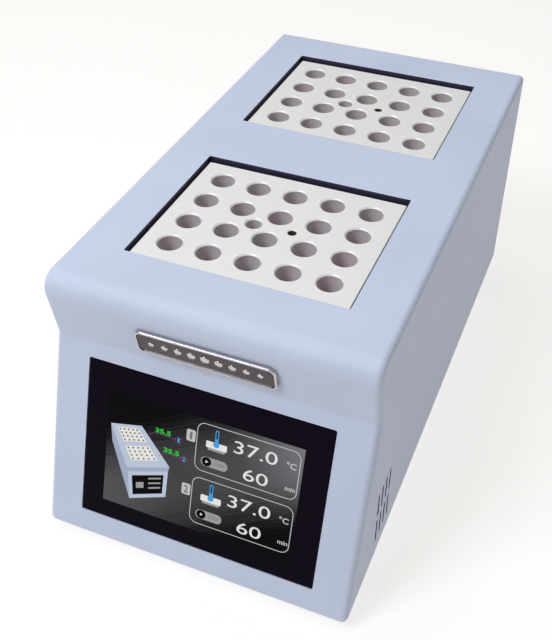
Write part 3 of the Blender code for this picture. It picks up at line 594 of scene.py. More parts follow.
def side_solid(inset, half_width, past, nose_radius, fold_radius, steps):
    """The housing's side outline, drawn in by an inset and pushed across the width.

    past is how far it runs out past the back and the foot, for a shape that cuts them open.
    """
    nose_y = CREASE.x - (TOP_Z - CREASE.y) * tan(FASCIA_LEAN)
    bm = bmesh.new()
    corners = [(FRONT_Y, SKIRT_Z), tuple(CREASE), (nose_y, TOP_Z)]
    corners += [(REAR_Y, TOP_Z), (REAR_Y, SKIRT_Z)]
    outline = bm.faces.new([bm.verts.new((-half_width, y, z)) for y, z in corners])
    bm.normal_update()
    if inset:
        rim = bmesh.ops.inset_region(
            bm, faces=[outline], thickness=inset, use_boundary=True, use_even_offset=True
        )["faces"]
        bmesh.ops.delete(bm, geom=rim, context="FACES")
    foot, fold, nose, back_top, back_foot = outline.verts
    if past:
        drop = inset + past
        foot.co += Vector((0, -drop * tan(FRONT_TILT), -drop))
        back_foot.co += Vector((0, drop, -drop))
        back_top.co.y += drop
    push(bm, outline, (2 * half_width, 0, 0), use_keep_orig=True)
    bmesh.ops.recalc_face_normals(bm, faces=bm.faces)
    across = [e for e in bm.edges if abs(e.verts[0].co.x - e.verts[1].co.x) > half_width]
    nose_edge, fold_edge = [
        next(e for e in across if (e.verts[0].co.yz - corner.co.yz).length < 1e-6)
        for corner in (nose, fold)
    ]
    # A fillet's offset from its edge is its radius over the tangent of half the corner's angle
    soften(bm, [nose_edge], nose_radius / tan((pi / 2 - FASCIA_LEAN) / 2), steps)
    soften(bm, [fold_edge], fold_radius * tan((FRONT_TILT + FASCIA_LEAN) / 2), steps // 2)
    return bm


def housing_cutters():
    """Windows over the wells, the glass's place, and the air slots in both sides."""
    cutters = []
    for low, high in BLOCK_BOX.values():
        y = (low.y + high.y) / 2
        corner = Vector((WINDOW_X / 2, WINDOW_Y / 2, 2 * WALL))
        middle = Vector((0, y, TOP_Z))
        cutters.append(rounded_bar(middle - corner, middle + corner, 2, 0.0006, 3))
    half = Vector((GLASS_X / 2 + GAP, GLASS_Y / 2 + GAP, 2 * WALL))
    cutters.append(moved(rounded_bar(-half, half, 2, 0.0008, 3), ON_GLASS))
    slots = bmesh.new()
    for side in (-1, 1):
        for low, high in SLOT_ROWS:
            for number in range(SLOTS_IN_ROW):
                y = FRONT_Y + SLOT_FIRST_BACK + number * SLOT_PITCH
                half = Vector((2 * WALL, SLOT_WIDTH / 2, (high - low) / 2))
                middle = Vector((side * HALF_WIDTH, y, (low + high) / 2))
                join(slots, rounded_bar(middle - half, middle + half, 0, SLOT_WIDTH * 0.49, 4))
    cutters.append(slots)
    return cutters


def rim_edges(bm, normal, within):
    """Edges where a face that looks along normal meets the wall of an opening near it."""
    chosen = []
    for edge in bm.edges:
        if len(edge.link_faces) != 2 or not within((edge.verts[0].co + edge.verts[1].co) / 2):
            continue
        facing = [abs(face.normal.dot(normal)) for face in edge.link_faces]
        if max(facing) > 0.999 and min(facing) < 0.1:
            chosen.append(edge)
    return chosen


def make_housing():
    shell = side_solid(0, HALF_WIDTH, 0, NOSE_RADIUS, FOLD_RADIUS, 18)
    ends = []
    for edge in shell.edges:
        a, b = (vert.co for vert in edge.verts)
        across = abs(a.x - b.x) > HALF_WIDTH
        on_rear = min(a.y, b.y) > REAR_Y - 1e-5
        on_front_foot = across and max(a.y, b.y) < FRONT_Y + 1e-5
        if on_front_foot or not (across or on_rear):
            ends.append(edge)
    soften(shell, ends, sizes().edge_radius, 6)
    inside = side_solid(WALL, HALF_WIDTH - WALL, 2 * WALL, NOSE_RADIUS - WALL, FOLD_RADIUS, 18)
    shell = carve(shell, [inside, *housing_cutters()])
    bosses, holes = bosses_and_holes()
    shell = carve(carve(shell, [bosses], "UNION"), [holes])
    bmesh.ops.remove_doubles(shell, verts=shell.verts, dist=1e-6)
    reach = WINDOW_X / 2 + 1e-4
    rims = rim_edges(shell, Vector((0, 0, 1)), lambda p: p.z > TOP_Z - 1e-5 and abs(p.x) < reach)
    soften(shell, rims, sizes().rim_radius, 4)
    shell.normal_update()
    # Cut edges round the windows and in the air slots take the wells' dark finish as painted shade.
    for face in shell.faces:
        face.material_index = int(on_cut_edge(face))
    looks = [housing_paint(), well_look()]
    settle("housing_shell", shell, looks, "housing", ["top_cover"], 40)


def rod(centre, radius, length, axis="Z", segments=24):
    """A cylinder round a centre, along one axis."""
    turns = {"X": Matrix.Rotation(pi / 2, 4, "Y"), "Y": Matrix.Rotation(pi / 2, 4, "X")}
    bm = bmesh.new()
    bmesh.ops.create_cone(
        bm,
        cap_ends=True,
        segments=segments,
        radius1=radius,
        radius2=radius,
        depth=length,
        matrix=Matrix.Translation(centre) @ turns.get(axis, Matrix()),
    )
    return bm


def bosses_and_holes():
    """The blocks inside the shell that its eight screws bite into, and the screws' holes."""
    bosses, holes = bmesh.new(), bmesh.new()
    inner, outer = FOOT_X - 0.005, HALF_WIDTH - WALL + 0.001
    foot_z = SKIRT_Z + SHEET + GAP
    rear_y = REAR_Y - SHEET - GAP - BOSS_DEPTH
    for side in (-1, 1):
        for back in (FOOT_FRONT_BACK, FOOT_REAR_BACK):
            y = FRONT_Y + back
            xs = sorted((side * inner, side * outer))
            add_box(bosses, (xs[0], y - 0.007, foot_z), (xs[1], y + 0.007, foot_z + BOSS_DEPTH))
            join(holes, rod((side * FOOT_X, y, foot_z), SCREW_HOLE, 2 * BOSS_DEPTH))
        for z in (REAR_SCREW_LOW, REAR_SCREW_HIGH):
            high = z + 0.006 if z == REAR_SCREW_LOW else TOP_Z - WALL + 0.001
            xs = sorted((side * (inner + 0.001), side * outer))
            add_box(bosses, (xs[0], rear_y, z - 0.006), (xs[1], rear_y + BOSS_DEPTH, high))
            join(holes, rod((side * REAR_SCREW_X, rear_y + BOSS_DEPTH, z), SCREW_HOLE, 0.0175, "Y"))
    return bosses, holes


def on_cut_edge(face):
    """Whether a face is a cut edge of the sheet, round a window or in an air slot, that is painted
    dark as painted shade.
    """
    centre = face.calc_center_median()
    if abs(face.normal.z) < 0.01 and centre.z > TOP_Z - WALL:
        for low, high in BLOCK_BOX.values():
            off = abs(centre.y - (low.y + high.y) / 2)
            if abs(centre.x) < WINDOW_X / 2 + 1e-4 and off < WINDOW_Y / 2 + 1e-4:
                return True
    last = FRONT_Y + SLOT_FIRST_BACK + SLOTS_IN_ROW * SLOT_PITCH
    beside = FRONT_Y + SLOT_FIRST_BACK - SLOT_PITCH < centre.y < last
    level = SLOT_ROWS[0][0] - 1e-4 < centre.z < SLOT_ROWS[-1][1] + 1e-4
    in_wall = HALF_WIDTH - WALL < abs(centre.x) < HALF_WIDTH - 1e-5
    return beside and level and in_wall and abs(face.normal.x) < 0.1


def make_rear_panel():
    """The painted steel back, with its two cut-outs and its vent slots."""
    half = HALF_WIDTH - WALL - GAP
    low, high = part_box("rear_panel")
    panel = soft_box((-half, REAR_Y - SHEET, low.z), (half, REAR_Y, high.z), 0)
    cutters = []
    for middle, (width, height) in ((INLET, INLET_CUT), (SWITCH, SWITCH_CUT)):
        reach = Vector((width / 2, 2 * SHEET, height / 2))
        cutters.append(rounded_bar(middle - reach, middle + reach, 1, 0.0008, 3))
    vents = bmesh.new()
    for number in range(-4, 5):
        reach = Vector((VENT_WIDTH / 2, 2 * SHEET, VENT_HEIGHT / 2))
        middle = Vector((number * VENT_PITCH, REAR_Y, VENT_Z))
        join(vents, rounded_bar(middle - reach, middle + reach, 1, VENT_WIDTH * 0.49, 6))
    cutters.append(vents)
    panel = carve(panel, cutters)
    rims = rim_edges(panel, Vector((0, 1, 0)), lambda point: point.y > REAR_Y - 1e-5)
    soften(panel, rims, 0.0003, 2)
    settle("rear_sheet", panel, [housing_paint()], "housing", ["rear_panel"])


def hole_cutter(x, y, radius, depth, chamfer):
    """A drilled hole in a block: a drill point below, and a flare that chamfers the rim."""
    top = BLOCK_BOX["front"][1].z
    bm = bmesh.new()
    made = bmesh.ops.create_cone(
        bm, cap_ends=True, segments=40, radius1=radius, radius2=radius, depth=depth - chamfer
    )["verts"]
    bmesh.ops.translate(bm, vec=(x, y, top - chamfer - (depth - chamfer) / 2), verts=made)
    bm.faces.ensure_lookup_table()
    floor = min(bm.faces, key=lambda face: face.calc_center_median().z)
    roof = max(bm.faces, key=lambda face: face.calc_center_median().z)
    rim = push(bm, roof, (0, 0, 2 * chamfer))
    bmesh.ops.delete(bm, geom=[roof], context="FACES_ONLY")
    widen = (radius + 2 * chamfer) / radius
    middle = Matrix.Translation((-x, -y, 0))
    bmesh.ops.scale(bm, vec=(widen, widen, 1), space=middle, verts=rim)
    tip = bmesh.ops.poke(bm, faces=[floor])["verts"]
    bmesh.ops.translate(bm, vec=(0, 0, -radius / tan(DRILL_POINT)), verts=tip)
    bmesh.ops.recalc_face_normals(bm, faces=bm.faces)
    return bm


def make_block(end):
    """One lift-out block, with its twenty tube holes, thermometer hole and lifter hole."""
    low, high = BLOCK_BOX[end]
    y = (low.y + high.y) / 2
    block = soft_box(low, high, 0.0006, 3)
    holes = bmesh.new()
    chamfer = sizes().hole_chamfer
    for column in range(COLUMNS):
        for row in range(ROWS):
            hole_x = (column - (COLUMNS - 1) / 2) * HOLE_PITCH_X
            hole_y = y + (row - (ROWS - 1) / 2) * HOLE_PITCH_Y
            join(holes, hole_cutter(hole_x, hole_y, TUBE_RADIUS, TUBE_DEPTH, chamfer))
    join(holes, hole_cutter(-HOLE_PITCH_X / 2, y, THERMOMETER_RADIUS, THERMOMETER_DEPTH, chamfer))
    join(holes, hole_cutter(HOLE_PITCH_X / 2, y, LIFTER_RADIUS, LIFTER_DEPTH, chamfer * 0.6))
    block = carve(block, [holes])
    skin = Vector((0.001, 0.001, 0.001))
    inner_low, inner_high = low + skin, Vector((high.x - 0.001, high.y - 0.001, high.z - chamfer))
    # Hole walls take the drilled finish; the lifter hole's walls take a dark brown that paints the
    # shade in the narrow hole.
    for face in block.faces:
        centre = face.calc_center_median()
        inside = all(inner_low[i] < centre[i] < inner_high[i] for i in range(3))
        from_lifter = (centre.xy - Vector((HOLE_PITCH_X / 2, y))).length
        face.material_index = int(inside) + int(inside and from_lifter < LIFTER_RADIUS + 1e-4)
    looks = [
        finish(blasted_aluminium, tones().block),
        finish(drilled_aluminium, tones().bore),
        finish(threaded_steel),
    ]
    settle(f"{end}_tube_block", block, looks, f"{end}_block", [f"{end}_block"], 40)


def make_well(end):
    """The dark heated well that a block stands in."""
    low, high = WELL_BOX[end]
    well = soft_box(low, high, 0.0008, 2)
    wall = 0.004
    floor = (low.x + wall, low.y + wall, BLOCK_BOX[end][0].z - GAP)
    room = rounded_bar(floor, (high.x - wall, high.y - wall, high.z + wall), 2, 0.0005, 2)
    sensor_bore = rod((0.020, low.y + 0.014, low.z + 0.004), 0.0020, 0.032, "Y")
    well = carve(well, [room, sensor_bore])
    settle(f"{end}_heated_well", well, [well_look()], "housing", [f"{end}_well"])


def flat_shape(points, layer):
    """A closed outline on the glass as a thin face, on one of the layers over it."""
    bm = bmesh.new()
    bm.faces.new([bm.verts.new((x, y, layer * LAYER)) for x, y in points])
    bmesh.ops.recalc_face_normals(bm, faces=bm.faces)
    for face in bm.faces:
        if face.normal.z < 0:
            face.normal_flip()
    return bm


def plate(x0, y0, x1, y1, radius, layer):
    """A rectangle on the glass with rounded corners."""
    bm = flat_shape([(x0, y0), (x1, y0), (x1, y1), (x0, y1)], layer)
    if radius:
        soften(bm, bm.verts[:], radius, 8, "VERTICES")
    return bm


def hollow(bm, width, even=True):
    """Leaves a flat face only its rim, which is as wide at its corners if it is even."""
    bm.faces.ensure_lookup_table()
    middle = bm.faces[0]
    bmesh.ops.inset_region(
        bm, faces=[middle], thickness=width, use_boundary=True, use_even_offset=even
    )
    bmesh.ops.delete(bm, geom=[middle], context="FACES_ONLY")
    return bm


def disc(x, y, radius, layer):
    """A round dot on the glass."""
    bm = bmesh.new()
    bmesh.ops.create_circle(bm, cap_ends=True, segments=32, radius=radius)
    bmesh.ops.translate(bm, vec=(x, y, layer * LAYER), verts=bm.verts)
    return bm


def line(points, width, layer):
    """A thin bent line on the glass."""
    bm = bmesh.new()
    for start, end in zip(points, points[1:]):
        start, end = Vector(start), Vector(end)
        along = (end - start).normalized()
        side = Vector((-along.y, along.x)) * width / 2
        start, end = start - along * width / 3, end + along * width / 3
        join(bm, flat_shape([start - side, end - side, end + side, start + side], layer))
    return bm


def words(text, left, right, foot, height, layer, weight=0.0):
    """Digits or a unit on the glass, drawn to fill its width and height exactly."""
    curve = bpy.data.curves.new("words", "FONT")
    curve.body = text
    curve.size = height
    curve.offset = weight * height
    curve.resolution_u = 6
    holder = put("words", curve)
    mesh = bpy.data.meshes.new_from_object(
        holder.evaluated_get(bpy.context.evaluated_depsgraph_get())
    )
    bm = bmesh.new()
    bm.from_mesh(mesh)
    bpy.data.objects.remove(holder)
    bpy.data.curves.remove(curve)
    bpy.data.meshes.remove(mesh)
    xs, ys = [v.co.x for v in bm.verts], [v.co.y for v in bm.verts]
    bmesh.ops.translate(bm, vec=(-min(xs), -min(ys), 0), verts=bm.verts)
    fit = ((right - left) / (max(xs) - min(xs)), height / (max(ys) - min(ys)), 1)
    bmesh.ops.scale(bm, vec=fit, verts=bm.verts)
    bmesh.ops.translate(bm, vec=(left, foot, layer * LAYER), verts=bm.verts)
    return bm


def show(name, shapes, look):
    """Shapes on the glass, joined as one lit or printed layer."""
    layer = bmesh.new()
    for bm in shapes:
        join(layer, bm)
    moved(layer, ON_GLASS @ Matrix.Scale(0.001, 4))
    settle(name, layer, [look], "housing")


def make_glass():
    half = Vector((GLASS_X / 2, GLASS_Y / 2, 0))
    glass = soft_box(-half - Vector((0, 0, GLASS_THICK)), half, 0.0003, 2, corner=0.0006)
    look = finish(black_cover_glass, tones().glass)
    settle("cover_glass", moved(glass, ON_GLASS), [look], "housing", ["touch_glass"])


def channel_shapes(rise):
    """The light and the shapes of each of one block's settings, moved up by a rise."""
    return {
        "outline": (
            "soft_white",
            [hollow(plate(-3.1, 0.9 + rise, 41.9, 23.3 + rise, 3.6, 3), 0.35)],
        ),
        "digits": (
            "white",
            [
                words("37.0", 13.4, 32.2, 14.1 + rise, 5.6, 4),
                words("60", 18.6, 29.3, 3.2 + rise, 5.4, 4),
            ],
        ),
        "units": (
            "soft_white",
            [
                words("°C", 36.1, 40.3, 14.8 + rise, 2.9, 4, 0.02),
                words("min", 36.7, 41.1, 4.7 + rise, 1.9, 4, 0.02),
            ],
        ),
        "tab": ("soft_white", [plate(-7.6, 13 + rise, -3.6, 18.4 + rise, 0.8, 3)]),
        "switch": ("grey", [plate(-0.3, 3.8 + rise, 11.6, 8.2 + rise, 2.1, 4)]),
        "knob": ("black", [disc(2.3, 6 + rise, 2.1, 5)]),
        "pill_words": ("shade", [words("OFF", 5.6, 10.4, 5.2 + rise, 1.6, 5)]),
        "spot": (
            "white",
            [flat_shape([(1.9, 5.3 + rise), (3.1, 6 + rise), (1.9, 6.7 + rise)], 6)],
        ),
        "slab": ("ivory", [plate(1.3, 12.8 + rise, 10.5, 15.8 + rise, 0.4, 4)]),
        "slab_shade": ("grey", [plate(2.1, 11.7 + rise, 9.7, 13.2 + rise, 0.4, 3)]),
        "bulb": (
            "sky_blue",
            [plate(5, 15 + rise, 6.6, 21.6 + rise, 0.79, 5), disc(5.8, 15 + rise, 1.4, 6)],
        ),
        "bulb_slot": ("night_blue", [plate(5.4, 17.6 + rise, 6.2, 21.1 + rise, 0.39, 6)]),
    }


def drawn_heater():
    """The lights and shapes of a small picture of the heater, seen from above its front."""
    back_left, back_right = Vector((-42.3, 9.7)), Vector((-28.0, 12.8))
    front_left, front_right = Vector((-33.5, -9.1)), Vector((-13.9, -2.4))
    low_left, low_right = Vector((-31.4, -23.8)), Vector((-14.6, -17.2))
    chin_left, chin_right = Vector((-33.0, -11.0)), Vector((-14.4, -4.6))

    def on_top(across, back):
        front = front_left.lerp(front_right, across)
        return front.lerp(back_left.lerp(back_right, across), back)

    def on_front(across, down):
        high = chin_left.lerp(chin_right, across)
        return high.lerp(low_left.lerp(low_right, across), down)

    def patch(where, low, high, layer):
        (a, b), (c, d) = low, high
        return flat_shape([where(a, b), where(c, b), where(c, d), where(a, d)], layer)

    blocks = [((0.17, 0.16), (0.83, 0.50)), ((0.17, 0.60), (0.83, 0.93))]
    dots = []
    for low, high in blocks:
        for column in range(COLUMNS):
            for row in range(ROWS):
                across = low[0] + (high[0] - low[0]) * (column + 0.5) / COLUMNS
                back = low[1] + (high[1] - low[1]) * (row + 0.5) / ROWS
                dots.append(disc(*on_top(across, back), 0.45, 5))
    side = [back_left, front_left, chin_left, low_left, Vector((-41.2, 1.5))]
    lines = [((0.52, low), (0.84, low + 0.06)) for low in (0.24, 0.42, 0.60)]
    lines.append(((0.20, 0.40), (0.40, 0.62)))
    return {
        "top": ("pale_blue", [flat_shape([front_left, front_right, back_right, back_left], 3)]),
        "front": ("pale_blue", [flat_shape([chin_left, low_left, low_right, chin_right], 3)]),
        "lip": ("mid_blue", [flat_shape([front_left, chin_left, chin_right, front_right], 3)]),
        "side": ("mid_blue", [flat_shape(side, 3)]),
        "blocks": ("ivory", [patch(on_top, low, high, 4) for low, high in blocks]),
        "dots": ("shade", dots),
        "display": ("black", [patch(on_front, (0.10, 0.14), (0.90, 0.86), 4)]),
        "display_lines": ("grey", [patch(on_front, low, high, 5) for low, high in lines]),
    }


def make_screen():
    """The lit picture: two channels, the readings of both blocks, and a drawing of the heater."""
    background = plate(LIT_LEFT, LIT_LOW, LIT_RIGHT, LIT_HIGH, 0, 1)
    show("screen_background", [background], finish(lit_background, tones().glow))
    shades = {
        "white": "#EDEDEE",
        "soft_white": "#C9C9CA",
        "grey": "#A3A3A5",
        "shade": "#77777A",
        "black": "#040304",
        "sky_blue": "#4BA6E8",
        "pale_blue": "#C3CEE2",
        "mid_blue": "#A9B4CB",
        "green": "#35D63C",
        "purple": "#7A4483",
        "cyan": "#39C5E0",
        "night_blue": "#27333F",
        "ivory": "#F1F0EA",
    }
    lights = {name: lit(f"lit_{name}", value) for name, value in shades.items()}
    for number, span, rise in ((1, (-6.1, -5.0), 0), (2, (-6.6, -4.6), -CHANNEL_DROP)):
        for name, (light, shapes) in channel_shapes(rise).items():
            show(f"channel_{number}_{name}", shapes, lights[light])
        number_on_tab = words(str(number), *span, 13.9 + rise, 3.5, 4, 0.02)
        show(f"channel_{number}_tab_number", [number_on_tab], lights["shade"])
    readings = [
        words("35.5", -21.7, -14.6, 12.1, 2.2, 3, 0.03),
        words("35.5", -17.3, -10.1, 4.1, 2.2, 3, 0.03),
    ]
    show("readings", readings, lights["green"])
    leaders = [
        line([(-24.6, 10.2), (-22, 11.6), (-12.4, 11.6)], 0.25, 3),
        line([(-19, 1.6), (-16.8, 3.6), (-9.3, 3.6)], 0.25, 3),
        hollow(disc(-10.9, 11.6, 1.6, 3), 0.3, even=False),
        hollow(disc(-7.8, 3.6, 1.6, 3), 0.3, even=False),
    ]
    show("leader_lines", leaders, lights["purple"])
    numerals = [
        words("1", -11.3, -10.5, 10.7, 1.8, 4, 0.02),
        words("2", -8.4, -7.2, 2.7, 1.8, 4, 0.02),
    ]
    show("leader_numbers", numerals, lights["cyan"])
    for name, (light, shapes) in drawn_heater().items():
        show(f"drawing_{name}", shapes, lights[light])


def make_badge():
    """A plain chromed plate with a dark enamelled field and a row of raised dots."""
    half = Vector((BADGE_SIZE.x / 2, BADGE_SIZE.y / 2, 0))
    thick = Vector((0, 0, BADGE_SIZE.z))
    body = soft_box(-half, half + thick, 0.0003, 3, corner=0.003)
    rim, floor = Vector((0.0009, 0.0009, 0)), thick * 0.75
    recess = rounded_bar(rim - half + floor, half - rim + thick * 2, 2, 0.0022, 6)
    body = carve(body, [recess])
    chrome = finish(polished_chrome, tones().chrome)
    for face in body.faces:
        centre = face.calc_center_median()
        on_floor = abs(centre.z - floor.z) < 1e-5 and face.normal.z > 0.9
        face.material_index = int(on_floor)
    looks = [chrome, finish(baked_enamel, tones().enamel)]
    settle("name_plate", moved(body, ON_FASCIA), looks, "housing", ["badge"])
    dots = bmesh.new()
    for number in range(-4, 5):
        size = 0.0021 - 0.0002 * abs(number)
        made = bmesh.ops.create_uvsphere(dots, u_segments=24, v_segments=12, radius=size)["verts"]
        bmesh.ops.scale(dots, vec=(1, 1, 0.28), verts=made)
        bmesh.ops.translate(dots, vec=(number * 0.0058, 0, floor.z), verts=made)
    settle("name_plate_dots", moved(dots, ON_FASCIA), [chrome], "housing")


def make_foot(name):
    """A rubber foot with a soft edge and a counterbore for its screw."""
    low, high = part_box(name)
    x, y, top = (low.x + high.x) / 2, (low.y + high.y) / 2, high.z
    profile = [(0.0045, 0.0004), (0.0049, 0), (0.0090, 0), (0.0097, 0.0003), (0.0100, 0.0011)]
    profile += [(0.0094, top - 0.0006), (0.0089, top), (0.0021, top)]
    profile += [(0.0021, 0.0026), (0.0045, 0.0026)]
    foot = moved(turned(profile, 48), Matrix.Translation((x, y, 0)))
    settle(f"rubber_{name}", foot, [finish(black_rubber)], "housing", [name])


def screw_shape(head_low, head_high, tip):
    """A pan-head screw along Z with a cross recess, its head from head_low up to head_high."""
    rise = head_high - head_low
    profile = [(0, head_high), (0.0012, head_high), (0.0022, head_high - 0.12 * rise)]
    profile += [(0.0028, head_high - 0.4 * rise), (0.0030, head_low), (0.0015, head_low)]
    profile += [(0.0015, tip + 0.001), (0.0010, tip), (0, tip)]
    screw = turned(profile, 32)
    arms = []
    for x, y in ((0.0016, 0.00035), (0.00035, 0.0016)):
        arms.append(soft_box((-x, -y, head_high - 0.0009), (x, y, head_high + 0.001), 0))
    return carve(screw, arms)


def make_screws():
    for hand, x in (("left", -REAR_SCREW_X), ("right", REAR_SCREW_X)):
        for level, z in (("low", REAR_SCREW_LOW), ("high", REAR_SCREW_HIGH)):
            place = Matrix.Translation((x, REAR_Y, z)) @ Matrix.Rotation(-pi / 2, 4, "X")
            screw = moved(screw_shape(GAP, GAP + 0.0019, -0.010), place)
            steel, name = [finish(zinc_plated_steel)], f"screw_{level}_{hand}"
            settle(f"panel_{name}", screw, steel, "housing", [f"rear_{name}"])


def make_inlet():
    """A snap-in mains inlet: flange, socket, three blades, and room for the fuse drawer."""
    corners = near(INLET, (-15.5, 0.3, -19), (15.5, 2.8, 19))
    flange = soft_box(*corners, 0.0005, 3, corner=0.0025, along=1)
    barrel = soft_box(*near(INLET, (-13.5, -21.2, -17), (13.5, 1, 17)), 0.0005, 2)
    body = carve(flange, [barrel], "UNION")
    socket = bmesh.new()
    made = add_box(socket, *near(INLET, (-12.2, -13.2, -1.8), (12.2, 3.8, 14.8)))
    middle_z = sum(vert.co.z for vert in made) / len(made)
    long_edges = edges_of(made, 1)
    upper = [e for e in long_edges if e.verts[0].co.z > middle_z]
    lower = [e for e in long_edges if e.verts[0].co.z < middle_z]
    soften(socket, upper, 0.004, 1)
    soften(socket, lower, 0.001, 3)
    drawer_room = soft_box(*near(INLET, (-12.5, -12.7, -15.2), (12.5, 3.8, -6.4)), 0)
    slots = bmesh.new()
    blades = {"left": (-7, 4.5), "right": (7, 4.5), "earth": (0, 8.5)}
    for x, z in blades.values():
        add_box(slots, *near(INLET, (x - 1.3, -32.2, z - 2.3), (x + 1.3, -12.2, z + 2.3)))
    body = carve(body, [socket, drawer_room, slots])
    settle("mains_inlet", body, [finish(black_nylon)], "housing", ["power_inlet"])
    for name, (x, z) in blades.items():
        blade = soft_box(*near(INLET, (x - 1, -26, z - 2), (x + 1, -3.2, z + 2)), 0.00055, 3)
        nickel, node = [finish(nickel_plate)], f"inlet_blade_{name}"
        settle(f"mains_blade_{name}", blade, nickel, "housing", [node])


def make_fuse_drawer():
    """The drawer's face, with a finger notch, and the tray behind it that holds the fuse."""
    front = soft_box(*near(INLET, (-13.5, 3.1, -16), (13.5, 4.7, -5.6)), 0.0004)
    tray = soft_box(*near(INLET, (-12.2, -11.5, -14.9), (12.2, 3.6, -6.7)), 0)
    body = carve(front, [tray], "UNION")
    pocket = soft_box(*near(INLET, (-10.3, -10.1, -13.7), (10.3, -4.3, -2.6)), 0)
    notch = rounded_bar(*near(INLET, (-4, 3.9, -17), (4, 6.1, -13.8)), 1, 0.0012)
    body = carve(body, [pocket, notch])
    settle("fuse_drawer_tray", body, [finish(black_nylon)], "drawer", ["fuse_drawer"])


def make_switch():
    """The rocker switch's bezel and case, with its two tabs and the room for the rocker."""
    corners = near(SWITCH, (-12.5, 0.3, -15.5), (12.5, 2.3, 15.5))
    bezel = soft_box(*corners, 0.0005, 3, corner=0.0012, along=1)
    case = soft_box(*near(SWITCH, (-10.5, -18, -13.5), (10.5, 1.3, 13.5)), 0)
    tabs, stub_rooms = bmesh.new(), bmesh.new()
    for z in (-6, 6):
        add_box(tabs, *near(SWITCH, (-3.15, -27, z - 0.4), (3.15, -17, z + 0.4)))
    body = carve(carve(bezel, [case], "UNION"), [tabs], "UNION")
    room = soft_box(*near(SWITCH, (-8.6, -9.7, -12), (8.6, 3.3, 12)), 0)
    for side in (-1, 1):
        centre = ROCKER_PIVOT + Vector((side * 0.00875, 0, 0))
        join(stub_rooms, rod(centre, 0.0015, 0.0023, "X"))
    body = carve(body, [room, stub_rooms])
    settle("switch_bezel", body, [finish(black_nylon)], "housing", ["switch_housing"])


def make_rocker():
    """The rocker in its on position, dished across its middle, on two short stubs."""
    half_width, high, hub, lip = 0.0082, 0.0106, 0.004, 0.006
    outline = [(-0.003, -hub), (0.001, -high + 0.0003), (lip, -high)]
    # The dished face is an arc of three points between its two lips
    for step in range(1, 8):
        z = -high + 2 * high * step / 8
        outline.append((lip - 0.0018 * (1 - (z / high) ** 2), z))
    outline += [(lip, high), (0.001, high - 0.0003), (-0.003, hub)]
    bm = bmesh.new()
    side = bm.faces.new([bm.verts.new((-half_width, y, z)) for y, z in outline])
    push(bm, side, (2 * half_width, 0, 0), use_keep_orig=True)
    bmesh.ops.recalc_face_normals(bm, faces=bm.faces)
    sharp = [e for e in bm.edges if e.calc_face_angle(0) > 0.7]
    soften(bm, sharp, 0.0004, 3)
    body = carve(bm, [rod((0, 0, 0), 0.0012, 0.0192, "X")], "UNION")
    place = Matrix.Translation(ROCKER_PIVOT) @ Matrix.Rotation(ROCKER_TILT, 4, "X")
    key, nylon = moved(body, place), [finish(black_nylon)]
    settle("rocker_key", key, nylon, "rocker", ["power_rocker"])
    marks = bmesh.new()
    add_box(marks, (-0.0004, lip - 0.0013, 0.0042), (0.0004, lip - 0.0002, 0.0074))
    ring = [(0.0012, 0), (0.0017, 0), (0.0017, 0.0011), (0.0012, 0.0011)]
    ring_place = Matrix.Translation((0, lip - 0.0013, -0.0058)) @ Matrix.Rotation(-pi / 2, 4, "X")
    join(marks, moved(turned(ring, 32), ring_place))
    settle("rocker_marks", moved(marks, place), [finish(pad_print)], "rocker")


def finish_cad_nodes():
    """A real finish on each piece of the frame that still shows as it was packed."""
    steel = ["display_bracket", "power_supply"]
    steel += [f"{end}_{part}" for end in ENDS for part in ("sensor", "cutout")]
    steel += [f"foot_screw_{corner}" for corner in CORNERS]
    steel += [f"{end}_well_post_{corner}" for end in ENDS for corner in CORNERS]
    finishes = (
        (housing_paint(), ["base_plate"]),
        (finish(black_rubber), ["glass_gasket"]),
        (finish(black_nylon), ["lcd_module", "front_triac", "rear_triac"]),
        (finish(circuit_board), ["display_board", "main_board"]),
        (finish(zinc_plated_steel), steel),
        (finish(extruded_aluminium), ["heat_sink"]),
        (finish(grey_pvc), ["ribbon_cable", "mains_lead"]),
        (finish(nickel_plate), ["fuse"]),
        (finish(nickel_plated_brass), [f"board_standoff_{corner}" for corner in CORNERS]),
        (finish(silicone_rubber), ["front_heater", "rear_heater"]),
        (finish(ceramic_fibre_board), ["front_insulation", "rear_insulation"]),
    )
    for look, nodes in finishes:
        for node in nodes:
            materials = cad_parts[node].data.materials
            materials.clear()
            materials.append(look)


